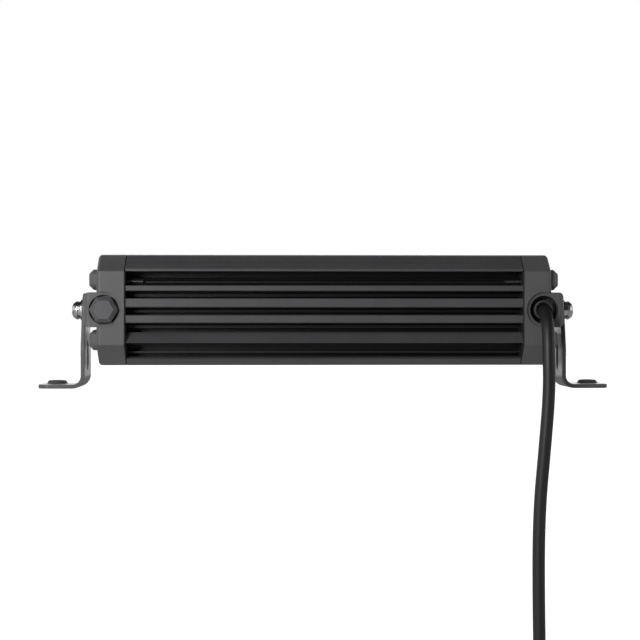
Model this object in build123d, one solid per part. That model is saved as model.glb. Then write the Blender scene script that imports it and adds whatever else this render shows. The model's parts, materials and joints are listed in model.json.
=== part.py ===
from build123d import *
import math
import os

# LED light bar on two foot brackets. All lengths are in millimetres.
#
# Frame: +X runs along the bar, the lens faces +Y, the finned rear faces -Y and +Z is up.
# The origin is the middle of the line through the two foot holes, on the underside of the feet.
# Every piece is drawn about the pivot axis of the brackets and lifted by PIVOT_HEIGHT when it is saved,
# so z = 0 in the functions below is the height of the pivot axis.

# ---------------------------------------------------------------- housing
HOUSING_LENGTH = 285.0      # extruded length between the two end caps
HOUSING_HEIGHT = 80.0
REAR_Y = -32.0              # flat rear face of the end caps
FRONT_Y = 44.0              # front rim of the housing
WALL = 3.0                  # top and bottom walls of the extrusion
TOP_EDGE_Y = -15.0          # where the flat top turns down into the rear facet
BOTTOM_EDGE_Y = -15.0
REAR_TOP_DROP = 12.4        # from the top down to the upper edge of the flat rear face
REAR_BOTTOM_RISE = 14.6     # from the underside up to the lower edge of the flat rear face
TOP_EDGE_R = 8.0            # softened edge between the top and its facet
BOTTOM_EDGE_R = 3.0
FRONT_EDGE_R = 2.0
REAR_EDGE_R = 1.5

# heat sink behind the mounting wall
BASE_REAR_Y = 0.0           # rear face of the wall that carries the boards
BASE_WALL = 5.0
FIN_REAR_Y = -30.5          # faces of the fins, a little inside the caps' rear face
FIN_TAPER_Y = -20.0         # where a fin has thinned from its face to its web
FIN_WEB = 2.6
FIN_CHAMFER = 0.6
FIN_FACES = ((13.4, 17.5), (1.7, 8.2), (-9.5, -3.7))     # lower and upper edge of each upright fin face
SLOPED_FIN_TOP = (-23.0, -16.1)                          # lowest fin leans: its upper edge lies deeper
SLOPED_FIN_BOTTOM = (-30.5, -23.8)
SHORT_RIB_DEPTH = 13.0
SHORT_RIBS = ((10.6, 2.0), (-1.0, 1.7), (-12.2, 2.0), (-30.6, 1.4))   # middle height and thickness
LIP_Y = -29.7               # rear edge of the top facet
LIP_THICKNESS = 1.7
BOTTOM_LIP_HEIGHT = 4.4     # edge of the lower lip above the underside
BOTTOM_LIP_BEVEL = 2.1

# screw channels in the extrusion for the cap screws
CAP_SCREW_D = 4.0
THREAD_CLEARANCE = 0.05     # radial gap of every screw in its own thread
REAR_CHANNEL = (-17.0, 20.4)          # Y, and distance above and below the middle
FRONT_CHANNEL_Y = 12.0
FRONT_CHANNEL_DEPTH = 6.7   # below the top and above the underside
CHANNEL_WALL = 0.8
CHANNEL_SLOT = 2.2

# ---------------------------------------------------------------- front
RIM_DEPTH = 16.0            # thick part of the walls behind the front edge
RIM_THICKNESS = 5.5
LENS_THICKNESS = 4.0
LENS_FRONT_Y = 41.7
LENS_EDGE = 0.4
LENS_SEAL_THICKNESS = 1.2
LENS_BITE = 2.6             # how far the lens reaches into its grooves
GROOVE_CLEARANCE = 0.15
END_CLEARANCE = 0.2         # boards, lens and tray stop this far short of the extrusion's ends

# light engine
LED_PITCH = 34.4
ROW_Z = 17.2                # height of each row of lamps above and below the middle
CUP_MOUTH_R = 15.8
CUP_DEPTH = 23.0
CUP_THROAT_R = 3.2
CUP_WALL = 1.2
CUP_STEPS = 6               # spans of the cup's curve
TRAY_PLATE = 1.8
TRAY_BITE = 1.0
PAD_THICKNESS = 0.5
BOARD_THICKNESS = 1.6
LED_BOARD_END_GAP = 7.5
LED_BOARD_HEIGHT = 15.0
DRIVER_BOARD = (190.0, 14.0)
LED_BASE = 3.5
LED_BASE_HEIGHT = 0.8
LED_DOME_R = 1.5
CUP_GAP = 1.1               # from the boards to the throats of the cups
BOARD_SCREW_D = 3.0
BOARD_SCREW_HEAD_D = 5.5
BOARD_SCREW_HEAD_H = 1.8
BOARD_SCREW_BITE = 4.0      # depth of the hole in the mounting wall
BOARD_SCREW_TIP_GAP = 0.9
BOARD_SCREW_SOCKET_R = 1.0

# driver parts, from the middle of the bar
INDUCTOR_X = (-62.0, -34.0, 26.0)
INDUCTOR_WIDTH = 9.0
INDUCTOR_HEIGHT = 5.5
INDUCTOR_CHAMFER = 1.8
CAPACITOR_X = (-78.0, -48.0, 8.0, 48.0)
CAPACITOR_D = 8.0
CAPACITOR_HEIGHT = 9.0
CAPACITOR_EDGE_R = 0.5
POWER_CHIP_X = (-12.0, 38.0, 62.0)
POWER_CHIP = (6.5, 2.3, 9.0)          # size along X, Y and Z
TERMINAL = (10.0, 8.0, 9.0)
TERMINAL_X = 78.0

# ---------------------------------------------------------------- end caps
CAP_THICKNESS = 19.7
GASKET_THICKNESS = 0.8
GASKET_INSET = 0.6
CAP_EDGE_R = 3.0
POCKET_WALL = 3.5           # side wall left outside the wiring pocket
POCKET_Y = (6.0, 35.0)
POCKET_MARGIN = 6.0         # from the top and the underside
POST_WALL = 1.5             # metal left round a screw head inside the pocket
WINDOW_Y = (6.5, 34.0)      # opening of the gasket
WINDOW_MARGIN = 12.0
PAD_RAISE = 5.7             # raised pads above and below the pivot boss
PAD_Z = (14.3, 29.0)
PAD_Y = (-27.0, 30.0)
PAD_CORNER_R = 5.0
PAD_CHAMFER = 3.0
PORT_X_IN = 5.3             # from the cap's outer side in to the axis of the rear port
BOSS_R = 12.5
BOSS_REACH = 9.3            # how far the boss stands out from the cap's side
BOSS_RECESS = 2.0           # its rear face lies this far inside the cap's rear face
BOSS_EDGE_R = 4.0
BOSS_CUT_GAP = 0.3
DUCT_D = 5.0                # wire duct from the port into the pocket
DUCT_X_IN = 7.0
SCREW_HEAD_D = 8.0
SCREW_HEAD_H = 2.6
SCREW_SOCKET_R = 1.54
HEAD_SINK = 4.5             # counterbore of the rear cap screws
FRONT_HEAD_SINK = 3.2
HEAD_GAP = 0.3
REAR_SCREW_BITE = 12.0      # length of screw in the extrusion
FRONT_SCREW_BITE = 10.0

# ---------------------------------------------------------------- vent plug and cable gland
VENT_RECESS_D = 21.5
VENT_RECESS_DEPTH = 4.5
VENT_AF = 18.0
VENT_HEAD = 10.0
VENT_CHAMFER = 2.6
VENT_THREAD_D = 12.0
VENT_SHANK = 11.0
VENT_BORE_D = 4.0
MEMBRANE_THICKNESS = 0.4
O_RING_SECTION = 1.8
O_RING_MEAN_R = 7.05
GLAND_SEAL_WALL = 0.6       # rubber between the cable and the sleeve
GLAND_WALL = 2.05
GLAND_RECESS_GAP = 3.05     # open ring round the sleeve
GLAND_RECESS_DEPTH = 14.0
GLAND_BELOW_FACE = 1.0      # the sleeve's end lies just inside the boss's face
GLAND_SEAT = 5.0            # length of the sleeve in its seat
GLAND_MOUTH_R = 0.8
GLAND_SEAL_INSET = 3.0      # of the rubber in the sleeve's mouth

# ---------------------------------------------------------------- brackets and their hardware
PIVOT_HEIGHT = 56.7         # pivot axis above the underside of the feet
PLATE = 3.0
BRACKET_GAP = 0.1           # between a boss and its bracket
BRACKET_HEAD_R = 12.5
BRACKET_WIDTH = 40.0
FLARE_DROP = 27.0           # where the leg has reached its full width
FLARE_R = 18.0
BEND_R = 6.0                # inside radius of the bend
FOOT_LENGTH = 31.2          # tip of each foot beyond the leg's outer face
FOOT_HOLE_OUT = 19.1        # middle of the foot hole beyond the leg's outer face
FOOT_HOLE_D = 8.5
FOOT_CORNER = 8.0
COLLAR_TOP_D = 12.5
COLLAR_BASE_D = 16.0
COLLAR_HEIGHT = 2.6
BEAD_WIDTH = 9.0
BEAD_DEPTH = 1.2
BEAD_Z = (-22.0, -44.0)     # highest and lowest point of the bead
PIVOT_SCREW_D = 8.0
PIVOT_RUNNING_GAP = 0.08    # radial, screw in bracket
PIVOT_SCREW_BITE = 12.0
PIVOT_BORE_EXTRA = 1.0
BUTTON_HEAD_D = 14.0
BUTTON_HEAD_H = 4.4
BUTTON_RIM_H = 0.8          # upright rim under the dome
BUTTON_DOME_R = 5.8         # a point of the dome, and its height
BUTTON_DOME_H = 3.0
BUTTON_FLAT_R = 3.15
SOCKET_AF = 5.0
SOCKET_DEPTH = 2.8
WASHER_BORE_GAP = 0.2       # radial, screw in washer
SPRING_WASHER_WIDTH = 2.4
SPRING_WASHER_THICKNESS = 2.0
PLAIN_WASHER_WIDTH = 3.8
PLAIN_WASHER_THICKNESS = 1.6
WASHER_SLIT = 1.2
WASHER_SLIT_ANGLE = 25
STACK_GAP = 0.05

# ---------------------------------------------------------------- cable
CABLE_D = 9.0
# The route of the cable's middle line, from inside the gland down to the connector.
# X is from the port's axis, Y is the frame's own and Z is from the pivot axis.
CABLE_ROUTE = (
    (0.0, -17.5, 0.0),
    (0.0, -33.0, 0.0),
    (0.3, -45.0, -11.5),
    (0.1, -48.8, -28.5),
    (0.5, -49.0, -58.0),
    (-2.5, -47.5, -98.0),
    (-6.1, -45.0, -142.0),
    (-6.5, -43.6, -199.0),
    (-5.3, -43.0, -256.0),
)
BEND_SHARE = 0.45           # how much of its shorter run a bend may take at each corner
WIRE_D = 2.0
WIRE_PITCH = 2.6
WIRE_LAY_Y = 11.0
WIRE_BEND_R = 6.0
CORE_GAP = 0.3              # from the cut sheath to the cores' own solids
BOOT_LENGTH = 16.0
BOOT_WALL = (1.0, 2.5)      # at the cable's end and at the connector's end
BOOT_FIT = 0.03
CONNECTOR_BODY = (20.0, 14.0, 26.0)
CONNECTOR_NOSE = (16.0, 10.0, 14.0)
CONNECTOR_SEAL = (1.2, 4.0)           # how far it stands out, and its height
LOCK = (11.0, 5.6, 3.0)
CONTACT_PITCH = 5.6
CONTACT_D = (3.2, 2.2)      # outside and bore
CONTACT_LENGTH = 12.0
CONTACT_END = 2.0           # solid end of each contact
LATCH = (7.0, 2.0, 22.0)
LATCH_LIFT = 1.6
LATCH_BRIDGE = 5.5
LATCH_ROOT = 1.5            # how far the bridge is rooted in the body
LATCH_EDGE_R = 0.7
CONNECTOR_CORNER_R = 2.3
NOSE_CORNER_R = 1.6
SEAL_CORNER_R = 2.0

# ---------------------------------------------------------------- derived places
HALF_LENGTH = HOUSING_LENGTH / 2
HALF_HEIGHT = HOUSING_HEIGHT / 2
REAR_TOP_Z = HALF_HEIGHT - REAR_TOP_DROP
REAR_BOTTOM_Z = REAR_BOTTOM_RISE - HALF_HEIGHT
BOTTOM_LIP_Z = BOTTOM_LIP_HEIGHT - HALF_HEIGHT
FRONT_CHANNEL = (FRONT_CHANNEL_Y, HALF_HEIGHT - FRONT_CHANNEL_DEPTH)
LED_COLUMNS = int(HOUSING_LENGTH / LED_PITCH)
LED_BOARD = (HOUSING_LENGTH - 2 * LED_BOARD_END_GAP, LED_BOARD_HEIGHT)
POCKET_HALF_HEIGHT = HALF_HEIGHT - POCKET_MARGIN
WINDOW_HALF_HEIGHT = HALF_HEIGHT - WINDOW_MARGIN
CAP_INNER_X = HALF_LENGTH + GASKET_THICKNESS
CAP_OUTER_X = CAP_INNER_X + CAP_THICKNESS
PORT_X = CAP_OUTER_X - PORT_X_IN
DUCT_X = CAP_OUTER_X - DUCT_X_IN
BOSS_REAR_Y = REAR_Y + BOSS_RECESS
BOSS_OUTER_X = CAP_OUTER_X + BOSS_REACH
PLATE_INNER_X = BOSS_OUTER_X + BRACKET_GAP
PLATE_OUTER_X = PLATE_INNER_X + PLATE
BASE_FRONT_Y = BASE_REAR_Y + BASE_WALL
BOARD_Y = BASE_FRONT_Y + PAD_THICKNESS
BOARD_FRONT_Y = BOARD_Y + BOARD_THICKNESS
THROAT_Y = BOARD_FRONT_Y + CUP_GAP
TRAY_FRONT_Y = THROAT_Y + CUP_DEPTH
LENS_REAR_Y = LENS_FRONT_Y - LENS_THICKNESS
RIM_INNER_Z = HALF_HEIGHT - RIM_THICKNESS
LENS_TOP_Z = RIM_INNER_Z + LENS_BITE
FOOT_TOP_Z = PLATE - PIVOT_HEIGHT
FOOT_REACH = PLATE_OUTER_X + FOOT_LENGTH
FOOT_HOLE_X = PLATE_OUTER_X + FOOT_HOLE_OUT
GLAND_BORE_D = CABLE_D + 2 * GLAND_SEAL_WALL
GLAND_D = GLAND_BORE_D + 2 * GLAND_WALL
GLAND_RECESS_D = GLAND_D + 2 * GLAND_RECESS_GAP
WASHER_BORE_D = PIVOT_SCREW_D + 2 * WASHER_BORE_GAP
CABLE_POINTS = [(PORT_X + x, y, z) for x, y, z in CABLE_ROUTE]
PARTS = "parts"


# ---------------------------------------------------------------- helpers
def save(node, shape):
    """Lifts a piece from the pivot axis to the frame of the feet and writes it."""
    export_step(Pos(0, 0, PIVOT_HEIGHT) * shape, f"{PARTS}/{node}.step")


def group(pieces):
    """Several separate solids in one node."""
    return Compound([solid for piece in pieces for solid in piece.solids()])


def block(x, y, z):
    """A box from its lowest and highest X, Y and Z."""
    size = [high - low for low, high in (x, y, z)]
    centre = [(low + high) / 2 for low, high in (x, y, z)]
    return Pos(*centre) * Box(*size)


def rod_x(radius, x_from, x_to, y, z):
    """A round bar along X."""
    return Pos((x_from + x_to) / 2, y, z) * Rot(0, 90, 0) * Cylinder(radius, abs(x_to - x_from))


def rod_y(radius, x, y_from, y_to, z):
    """A round bar along Y."""
    return Pos(x, (y_from + y_to) / 2, z) * Rot(90, 0, 0) * Cylinder(radius, abs(y_to - y_from))


def rod_z(radius, x, y, z_from, z_to):
    """A round bar along Z."""
    return Pos(x, y, (z_from + z_to) / 2) * Cylinder(radius, abs(z_to - z_from))


def outline(points):
    """A flat face from the corners of its outline."""
    return make_face(Polyline(*points, close=True))


def rounded(face, corner, radius):
    """The face with the corner nearest to a point rounded."""
    vertex = min(face.vertices(), key=lambda v: math.hypot(v.X - corner[0], v.Y - corner[1]))
    return fillet([vertex], radius)


def along_bar(face, x_from, x_to):
    """A face drawn in Y and Z, extruded along X."""
    return Pos(x_from, 0, 0) * extrude(Plane.YZ * face, amount=x_to - x_from)


def mirrored(shape):
    """The same piece at the other end of the bar."""
    return mirror(shape, about=Plane.YZ)


# ---------------------------------------------------------------- housing
def bar_outline(inset=0.0):
    """The outline of the bar's end, in Y and Z, without its inset."""
    corners = (
        ((FRONT_Y, HALF_HEIGHT), FRONT_EDGE_R),
        ((TOP_EDGE_Y, HALF_HEIGHT), TOP_EDGE_R),
        ((REAR_Y, REAR_TOP_Z), REAR_EDGE_R),
        ((REAR_Y, REAR_BOTTOM_Z), REAR_EDGE_R),
        ((BOTTOM_EDGE_Y, -HALF_HEIGHT), BOTTOM_EDGE_R),
        ((FRONT_Y, -HALF_HEIGHT), FRONT_EDGE_R),
    )
    face = outline([point for point, _ in corners])
    for point, radius in corners:
        face = rounded(face, point, radius)
    if inset:
        face = offset(face, amount=-inset)
    return face


def fin(low, high):
    """An upright fin: a tall face that tapers to a web."""
    middle = (low + high) / 2
    half = FIN_WEB / 2
    return outline([
        (FIN_REAR_Y, low + FIN_CHAMFER),
        (FIN_REAR_Y, high - FIN_CHAMFER),
        (FIN_REAR_Y + FIN_CHAMFER, high),
        (FIN_TAPER_Y, middle + half),
        (BASE_REAR_Y, middle + half),
        (BASE_REAR_Y, middle - half),
        (FIN_TAPER_Y, middle - half),
        (FIN_REAR_Y + FIN_CHAMFER, low),
    ])


def sloped_fin():
    """The lowest fin, with its leaning face and room for the lower screw channel."""
    channel_half = CAP_SCREW_D / 2 + THREAD_CLEARANCE + CHANNEL_WALL
    return outline([
        SLOPED_FIN_BOTTOM,
        SLOPED_FIN_TOP,
        (BASE_REAR_Y, -REAR_CHANNEL[1] + channel_half),
        (BASE_REAR_Y, -REAR_CHANNEL[1] - channel_half),
        (REAR_CHANNEL[0], SLOPED_FIN_BOTTOM[1]),
    ])


def top_shell():
    """Top wall with the facet that runs down to its rear lip."""
    drop = (HALF_HEIGHT - REAR_TOP_Z) / (TOP_EDGE_Y - REAR_Y)
    lip_top = HALF_HEIGHT - drop * (TOP_EDGE_Y - LIP_Y)
    face = outline([
        (FRONT_Y, HALF_HEIGHT),
        (TOP_EDGE_Y, HALF_HEIGHT),
        (LIP_Y, lip_top),
        (LIP_Y, lip_top - LIP_THICKNESS),
        (TOP_EDGE_Y + WALL, HALF_HEIGHT - WALL),
        (FRONT_Y, HALF_HEIGHT - WALL),
    ])
    face = rounded(face, (TOP_EDGE_Y, HALF_HEIGHT), TOP_EDGE_R)
    return rounded(face, (FRONT_Y, HALF_HEIGHT), FRONT_EDGE_R)


def bottom_shell():
    """Bottom wall with its short rear lip."""
    drop = (HALF_HEIGHT + REAR_BOTTOM_Z) / (BOTTOM_EDGE_Y - REAR_Y)
    lip_y = BOTTOM_EDGE_Y - (HALF_HEIGHT + BOTTOM_LIP_Z) / drop
    face = outline([
        (FRONT_Y, -HALF_HEIGHT),
        (BOTTOM_EDGE_Y, -HALF_HEIGHT),
        (lip_y, BOTTOM_LIP_Z),
        (lip_y + BOTTOM_LIP_BEVEL, BOTTOM_LIP_Z + BOTTOM_LIP_BEVEL),
        (BASE_REAR_Y, WALL - HALF_HEIGHT),
        (FRONT_Y, WALL - HALF_HEIGHT),
    ])
    face = rounded(face, (BOTTOM_EDGE_Y, -HALF_HEIGHT), BOTTOM_EDGE_R)
    return rounded(face, (FRONT_Y, -HALF_HEIGHT), FRONT_EDGE_R)


def channel_face(centre, reach):
    """The round wall of a screw channel, with the arm that joins it on to the extrusion."""
    radius = CAP_SCREW_D / 2 + THREAD_CLEARANCE + CHANNEL_WALL
    y, z = centre
    arm = outline([(y, z - radius), (reach[0], z - radius), (reach[0], reach[1]), (y, reach[1])])
    return Pos(y, z) * Circle(radius) + arm


def housing_section():
    face = top_shell() + bottom_shell()
    face += outline([
        (BASE_REAR_Y, WALL / 2 - HALF_HEIGHT),
        (BASE_FRONT_Y, WALL / 2 - HALF_HEIGHT),
        (BASE_FRONT_Y, HALF_HEIGHT - WALL / 2),
        (BASE_REAR_Y, HALF_HEIGHT - WALL / 2),
    ])
    for low, high in FIN_FACES:
        face += fin(low, high)
    face += sloped_fin()
    for middle, thickness in SHORT_RIBS:
        rib = Rectangle(SHORT_RIB_DEPTH, thickness)
        face += Pos(BASE_REAR_Y - SHORT_RIB_DEPTH / 2, middle) * rib
    rear_y, rear_z = REAR_CHANNEL
    front_y, front_z = FRONT_CHANNEL
    arm_top = rear_z + CAP_SCREW_D / 2 + THREAD_CLEARANCE + CHANNEL_WALL
    face += channel_face(REAR_CHANNEL, (BASE_REAR_Y, arm_top))
    rim = Rectangle(RIM_DEPTH - FRONT_EDGE_R, RIM_THICKNESS - FRONT_EDGE_R)
    rim_y = FRONT_Y - FRONT_EDGE_R - (RIM_DEPTH - FRONT_EDGE_R) / 2
    rim_z = RIM_INNER_Z + (RIM_THICKNESS - FRONT_EDGE_R) / 2
    lip = Rectangle(FRONT_EDGE_R, RIM_THICKNESS - FRONT_EDGE_R)
    bore = Circle(CAP_SCREW_D / 2 + THREAD_CLEARANCE)
    boss_r = CAP_SCREW_D / 2 + THREAD_CLEARANCE + 2 * CHANNEL_WALL
    boss = Circle(boss_r)
    neck = Rectangle(2 * boss_r, HALF_HEIGHT - WALL / 2 - front_z)
    neck_z = (HALF_HEIGHT - WALL / 2 + front_z) / 2
    lens_slot_depth = LENS_THICKNESS + LENS_SEAL_THICKNESS + 2 * GROOVE_CLEARANCE
    lens_slot = Rectangle(lens_slot_depth, 2 * (LENS_BITE + GROOVE_CLEARANCE))
    lens_slot_y = LENS_FRONT_Y + GROOVE_CLEARANCE - lens_slot_depth / 2
    tray_slot = Rectangle(TRAY_PLATE + 2 * GROOVE_CLEARANCE, 2 * (TRAY_BITE + GROOVE_CLEARANCE))
    for side in (1, -1):
        face += Pos(rim_y, side * rim_z) * rim
        face += Pos(FRONT_Y - FRONT_EDGE_R / 2, side * rim_z) * lip
        face += Pos(front_y, side * front_z) * boss
        face += Pos(front_y, side * neck_z) * neck
        face -= Pos(lens_slot_y, side * RIM_INNER_Z) * lens_slot
        face -= Pos(TRAY_FRONT_Y - TRAY_PLATE / 2, side * RIM_INNER_Z) * tray_slot
        face -= Pos(front_y, side * front_z) * bore
        face -= Pos(rear_y, side * rear_z) * bore
    slot = Rectangle(CAP_SCREW_D, CHANNEL_SLOT)
    face -= Pos(rear_y - CAP_SCREW_D / 2 - CHANNEL_WALL, rear_z) * slot
    return face


def housing_extrusion():
    body = along_bar(housing_section(), -HALF_LENGTH, HALF_LENGTH)
    for x in board_screw_columns():
        for z in (ROW_Z, -ROW_Z):
            body -= board_screw_hole(x, z)
    for x in driver_screw_columns():
        body -= board_screw_hole(x, 0)
    return body


# ---------------------------------------------------------------- light engine
def led_columns():
    first = -(LED_COLUMNS - 1) / 2
    return [(first + i) * LED_PITCH for i in range(LED_COLUMNS)]


def board_screw_columns():
    """Every second gap between two lamps takes a screw."""
    gaps = [x + LED_PITCH / 2 for x in led_columns()[:-1]]
    return gaps[::2]


def driver_screw_columns():
    inset = BOARD_SCREW_HEAD_D
    return [-DRIVER_BOARD[0] / 2 + inset, DRIVER_BOARD[0] / 2 - inset]


def board_screw_hole(x, z):
    radius = BOARD_SCREW_D / 2 + THREAD_CLEARANCE
    return rod_y(radius, x, BASE_FRONT_Y - BOARD_SCREW_BITE, BOARD_FRONT_Y, z)


def strip(size, y, thickness, z, screws):
    """A board or pad on the mounting wall, with its screw holes."""
    length, height = size
    body = block((-length / 2, length / 2), (y, y + thickness), (z - height / 2, z + height / 2))
    for x in screws:
        body -= board_screw_hole(x, z)
    return body


def led_board(z):
    return strip(LED_BOARD, BOARD_Y, BOARD_THICKNESS, z, board_screw_columns())


def driver_board():
    return strip(DRIVER_BOARD, BOARD_Y, BOARD_THICKNESS, 0, driver_screw_columns())


def thermal_pads():
    pads = [strip(DRIVER_BOARD, BASE_FRONT_Y, PAD_THICKNESS, 0, driver_screw_columns())]
    for z in (ROW_Z, -ROW_Z):
        pads.append(strip(LED_BOARD, BASE_FRONT_Y, PAD_THICKNESS, z, board_screw_columns()))
    return group(pads)


def led_chips():
    chips = []
    half = LED_BASE / 2
    for x in led_columns():
        for z in (ROW_Z, -ROW_Z):
            top = BOARD_FRONT_Y + LED_BASE_HEIGHT
            base = block((x - half, x + half), (BOARD_FRONT_Y, top), (z - half, z + half))
            dome = Pos(x, top, z) * Sphere(LED_DOME_R)
            dome &= block((x - half, x + half), (top, top + LED_DOME_R), (z - half, z + half))
            chips.append(base + dome)
    return group(chips)


def board_screw(x, z):
    """A small pan-head screw with a hexagon socket."""
    tip = BASE_FRONT_Y - BOARD_SCREW_BITE + BOARD_SCREW_TIP_GAP
    top = BOARD_FRONT_Y + BOARD_SCREW_HEAD_H
    shank = rod_y(BOARD_SCREW_D / 2, x, tip, BOARD_FRONT_Y, z)
    head = rod_y(BOARD_SCREW_HEAD_D / 2, x, BOARD_FRONT_Y, top, z)
    head = fillet(head.edges().group_by(Axis.Y)[-1], BOARD_SCREW_HEAD_H / 2)
    hexagon = RegularPolygon(BOARD_SCREW_SOCKET_R, 6)
    drive = extrude(hexagon, amount=BOARD_SCREW_HEAD_H / 2, both=True)
    return shank + head - Pos(x, top, z) * Rot(90, 0, 0) * drive


def board_screws():
    screws = [board_screw(x, z) for x in board_screw_columns() for z in (ROW_Z, -ROW_Z)]
    screws += [board_screw(x, 0) for x in driver_screw_columns()]
    return group(screws)


def cup_radius(depth):
    """Radius of a parabolic cup at a depth from its throat."""
    focus = (CUP_MOUTH_R ** 2 - CUP_THROAT_R ** 2) / (4 * CUP_DEPTH)
    return math.sqrt(CUP_THROAT_R ** 2 + 4 * focus * depth)


def cup_curve(radial):
    """The cup's curve from its throat to its mouth, moved outward by a wall."""
    depths = [CUP_DEPTH * (step / CUP_STEPS) ** 2 for step in range(CUP_STEPS + 1)]
    return Spline(*[(cup_radius(depth) + radial, depth) for depth in depths])


def reflector_cup():
    """One cup, about the Y axis, with its throat at y = 0."""
    inside = cup_curve(0)
    outside = cup_curve(CUP_WALL)
    throat = Line(inside @ 0, outside @ 0)
    mouth = Line(inside @ 1, outside @ 1)
    return revolve(make_face([inside, mouth, outside, throat]), axis=Axis.Y)


def reflector_tray():
    half_length = HALF_LENGTH - END_CLEARANCE
    half_height = RIM_INNER_Z + TRAY_BITE
    rear_y = TRAY_FRONT_Y - TRAY_PLATE
    plate = block((-half_length, half_length), (rear_y, TRAY_FRONT_Y), (-half_height, half_height))
    cup = reflector_cup()
    mouth_r = CUP_MOUTH_R + CUP_WALL / 2
    places = [(x, z) for x in led_columns() for z in (ROW_Z, -ROW_Z)]
    plate -= [rod_y(mouth_r, x, rear_y - TRAY_PLATE, TRAY_FRONT_Y + TRAY_PLATE, z) for x, z in places]
    return plate + [Pos(x, THROAT_Y, z) * cup for x, z in places]


def lens():
    half_length = HALF_LENGTH - END_CLEARANCE
    x = (-half_length, half_length)
    body = block(x, (LENS_REAR_Y, LENS_FRONT_Y), (-LENS_TOP_Z, LENS_TOP_Z))
    long_edges = body.edges().filter_by(Axis.X)
    return chamfer(long_edges, LENS_EDGE)


def lens_seals():
    half_length = HALF_LENGTH - END_CLEARANCE
    seal_rear = LENS_REAR_Y - LENS_SEAL_THICKNESS
    low = RIM_INNER_Z - GROOVE_CLEARANCE
    seals = []
    for side in (1, -1):
        z = sorted((side * low, side * LENS_TOP_Z))
        seals.append(block((-half_length, half_length), (seal_rear, LENS_REAR_Y), z))
    return group(seals)


# ---------------------------------------------------------------- driver
def driver_inductors():
    half = INDUCTOR_WIDTH / 2
    cores = []
    for x in INDUCTOR_X:
        y = (BOARD_FRONT_Y, BOARD_FRONT_Y + INDUCTOR_HEIGHT)
        core = block((x - half, x + half), y, (-half, half))
        cores.append(chamfer(core.edges().filter_by(Axis.Y), INDUCTOR_CHAMFER))
    return group(cores)


def driver_capacitors():
    cans = []
    for x in CAPACITOR_X:
        can = rod_y(CAPACITOR_D / 2, x, BOARD_FRONT_Y, BOARD_FRONT_Y + CAPACITOR_HEIGHT, 0)
        cans.append(fillet(can.edges().group_by(Axis.Y)[-1], CAPACITOR_EDGE_R))
    return group(cans)


def driver_chips():
    width, height, length = POWER_CHIP
    y = (BOARD_FRONT_Y, BOARD_FRONT_Y + height)
    z = (-length / 2, length / 2)
    return group([block((x - width / 2, x + width / 2), y, z) for x in POWER_CHIP_X])


def terminal_block():
    width, height, length = TERMINAL
    x = (TERMINAL_X - width / 2, TERMINAL_X + width / 2)
    body = block(x, (BOARD_FRONT_Y, BOARD_FRONT_Y + height), (-length / 2, length / 2))
    for side in (1, -1):
        body -= rod_x(WIRE_D / 2 + THREAD_CLEARANCE, TERMINAL_X, x[1], WIRE_LAY_Y, side * WIRE_PITCH / 2)
    return body


def supply_wire(side):
    """One insulated core from the end of the cable's sheath to the terminal block."""
    z = side * WIRE_PITCH / 2
    start = CABLE_POINTS[0][1]
    path = FilletPolyline(
        (DUCT_X, start + CORE_GAP, z),
        (DUCT_X, WIRE_LAY_Y, z),
        (TERMINAL_X, WIRE_LAY_Y, z),
        radius=WIRE_BEND_R,
    )
    return sweep(Plane(origin=path @ 0, z_dir=path % 0) * Circle(WIRE_D / 2), path=path)


# ---------------------------------------------------------------- end caps
def cap_screw_places():
    """Y, Z, sink of the head, bite and X of the face for every cap screw at one end."""
    pad_x = CAP_OUTER_X + PAD_RAISE
    rear_y, rear_z = REAR_CHANNEL
    front_y, front_z = FRONT_CHANNEL
    places = []
    for side in (1, -1):
        places.append((rear_y, side * rear_z, HEAD_SINK, REAR_SCREW_BITE, pad_x))
        places.append((front_y, side * front_z, FRONT_HEAD_SINK, FRONT_SCREW_BITE, CAP_OUTER_X))
    return places


def side_pad(side):
    low, high = sorted((side * PAD_Z[0], side * PAD_Z[1]))
    pad = block((CAP_OUTER_X - CAP_EDGE_R, CAP_OUTER_X + PAD_RAISE), PAD_Y, (low, high))
    pad = fillet(pad.edges().filter_by(Axis.X), PAD_CORNER_R)
    return chamfer(pad.faces().sort_by(Axis.X)[-1].edges(), PAD_CHAMFER)


def pivot_boss():
    """The boss that carries the rear port and the pivot thread."""
    x = (PORT_X, BOSS_OUTER_X)
    length = x[1] - x[0]
    face = Circle(BOSS_R) + Pos(BOSS_REAR_Y / 2, 0) * Rectangle(-BOSS_REAR_Y, 2 * BOSS_R)
    boss = Pos(x[0], 0, 0) * extrude(Plane.YZ * face, amount=length)
    boss = fillet(boss.faces().sort_by(Axis.X)[-1].edges(), BOSS_EDGE_R)
    return boss + rod_y(BOSS_R, PORT_X, BOSS_REAR_Y, BASE_REAR_Y, 0)


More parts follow.
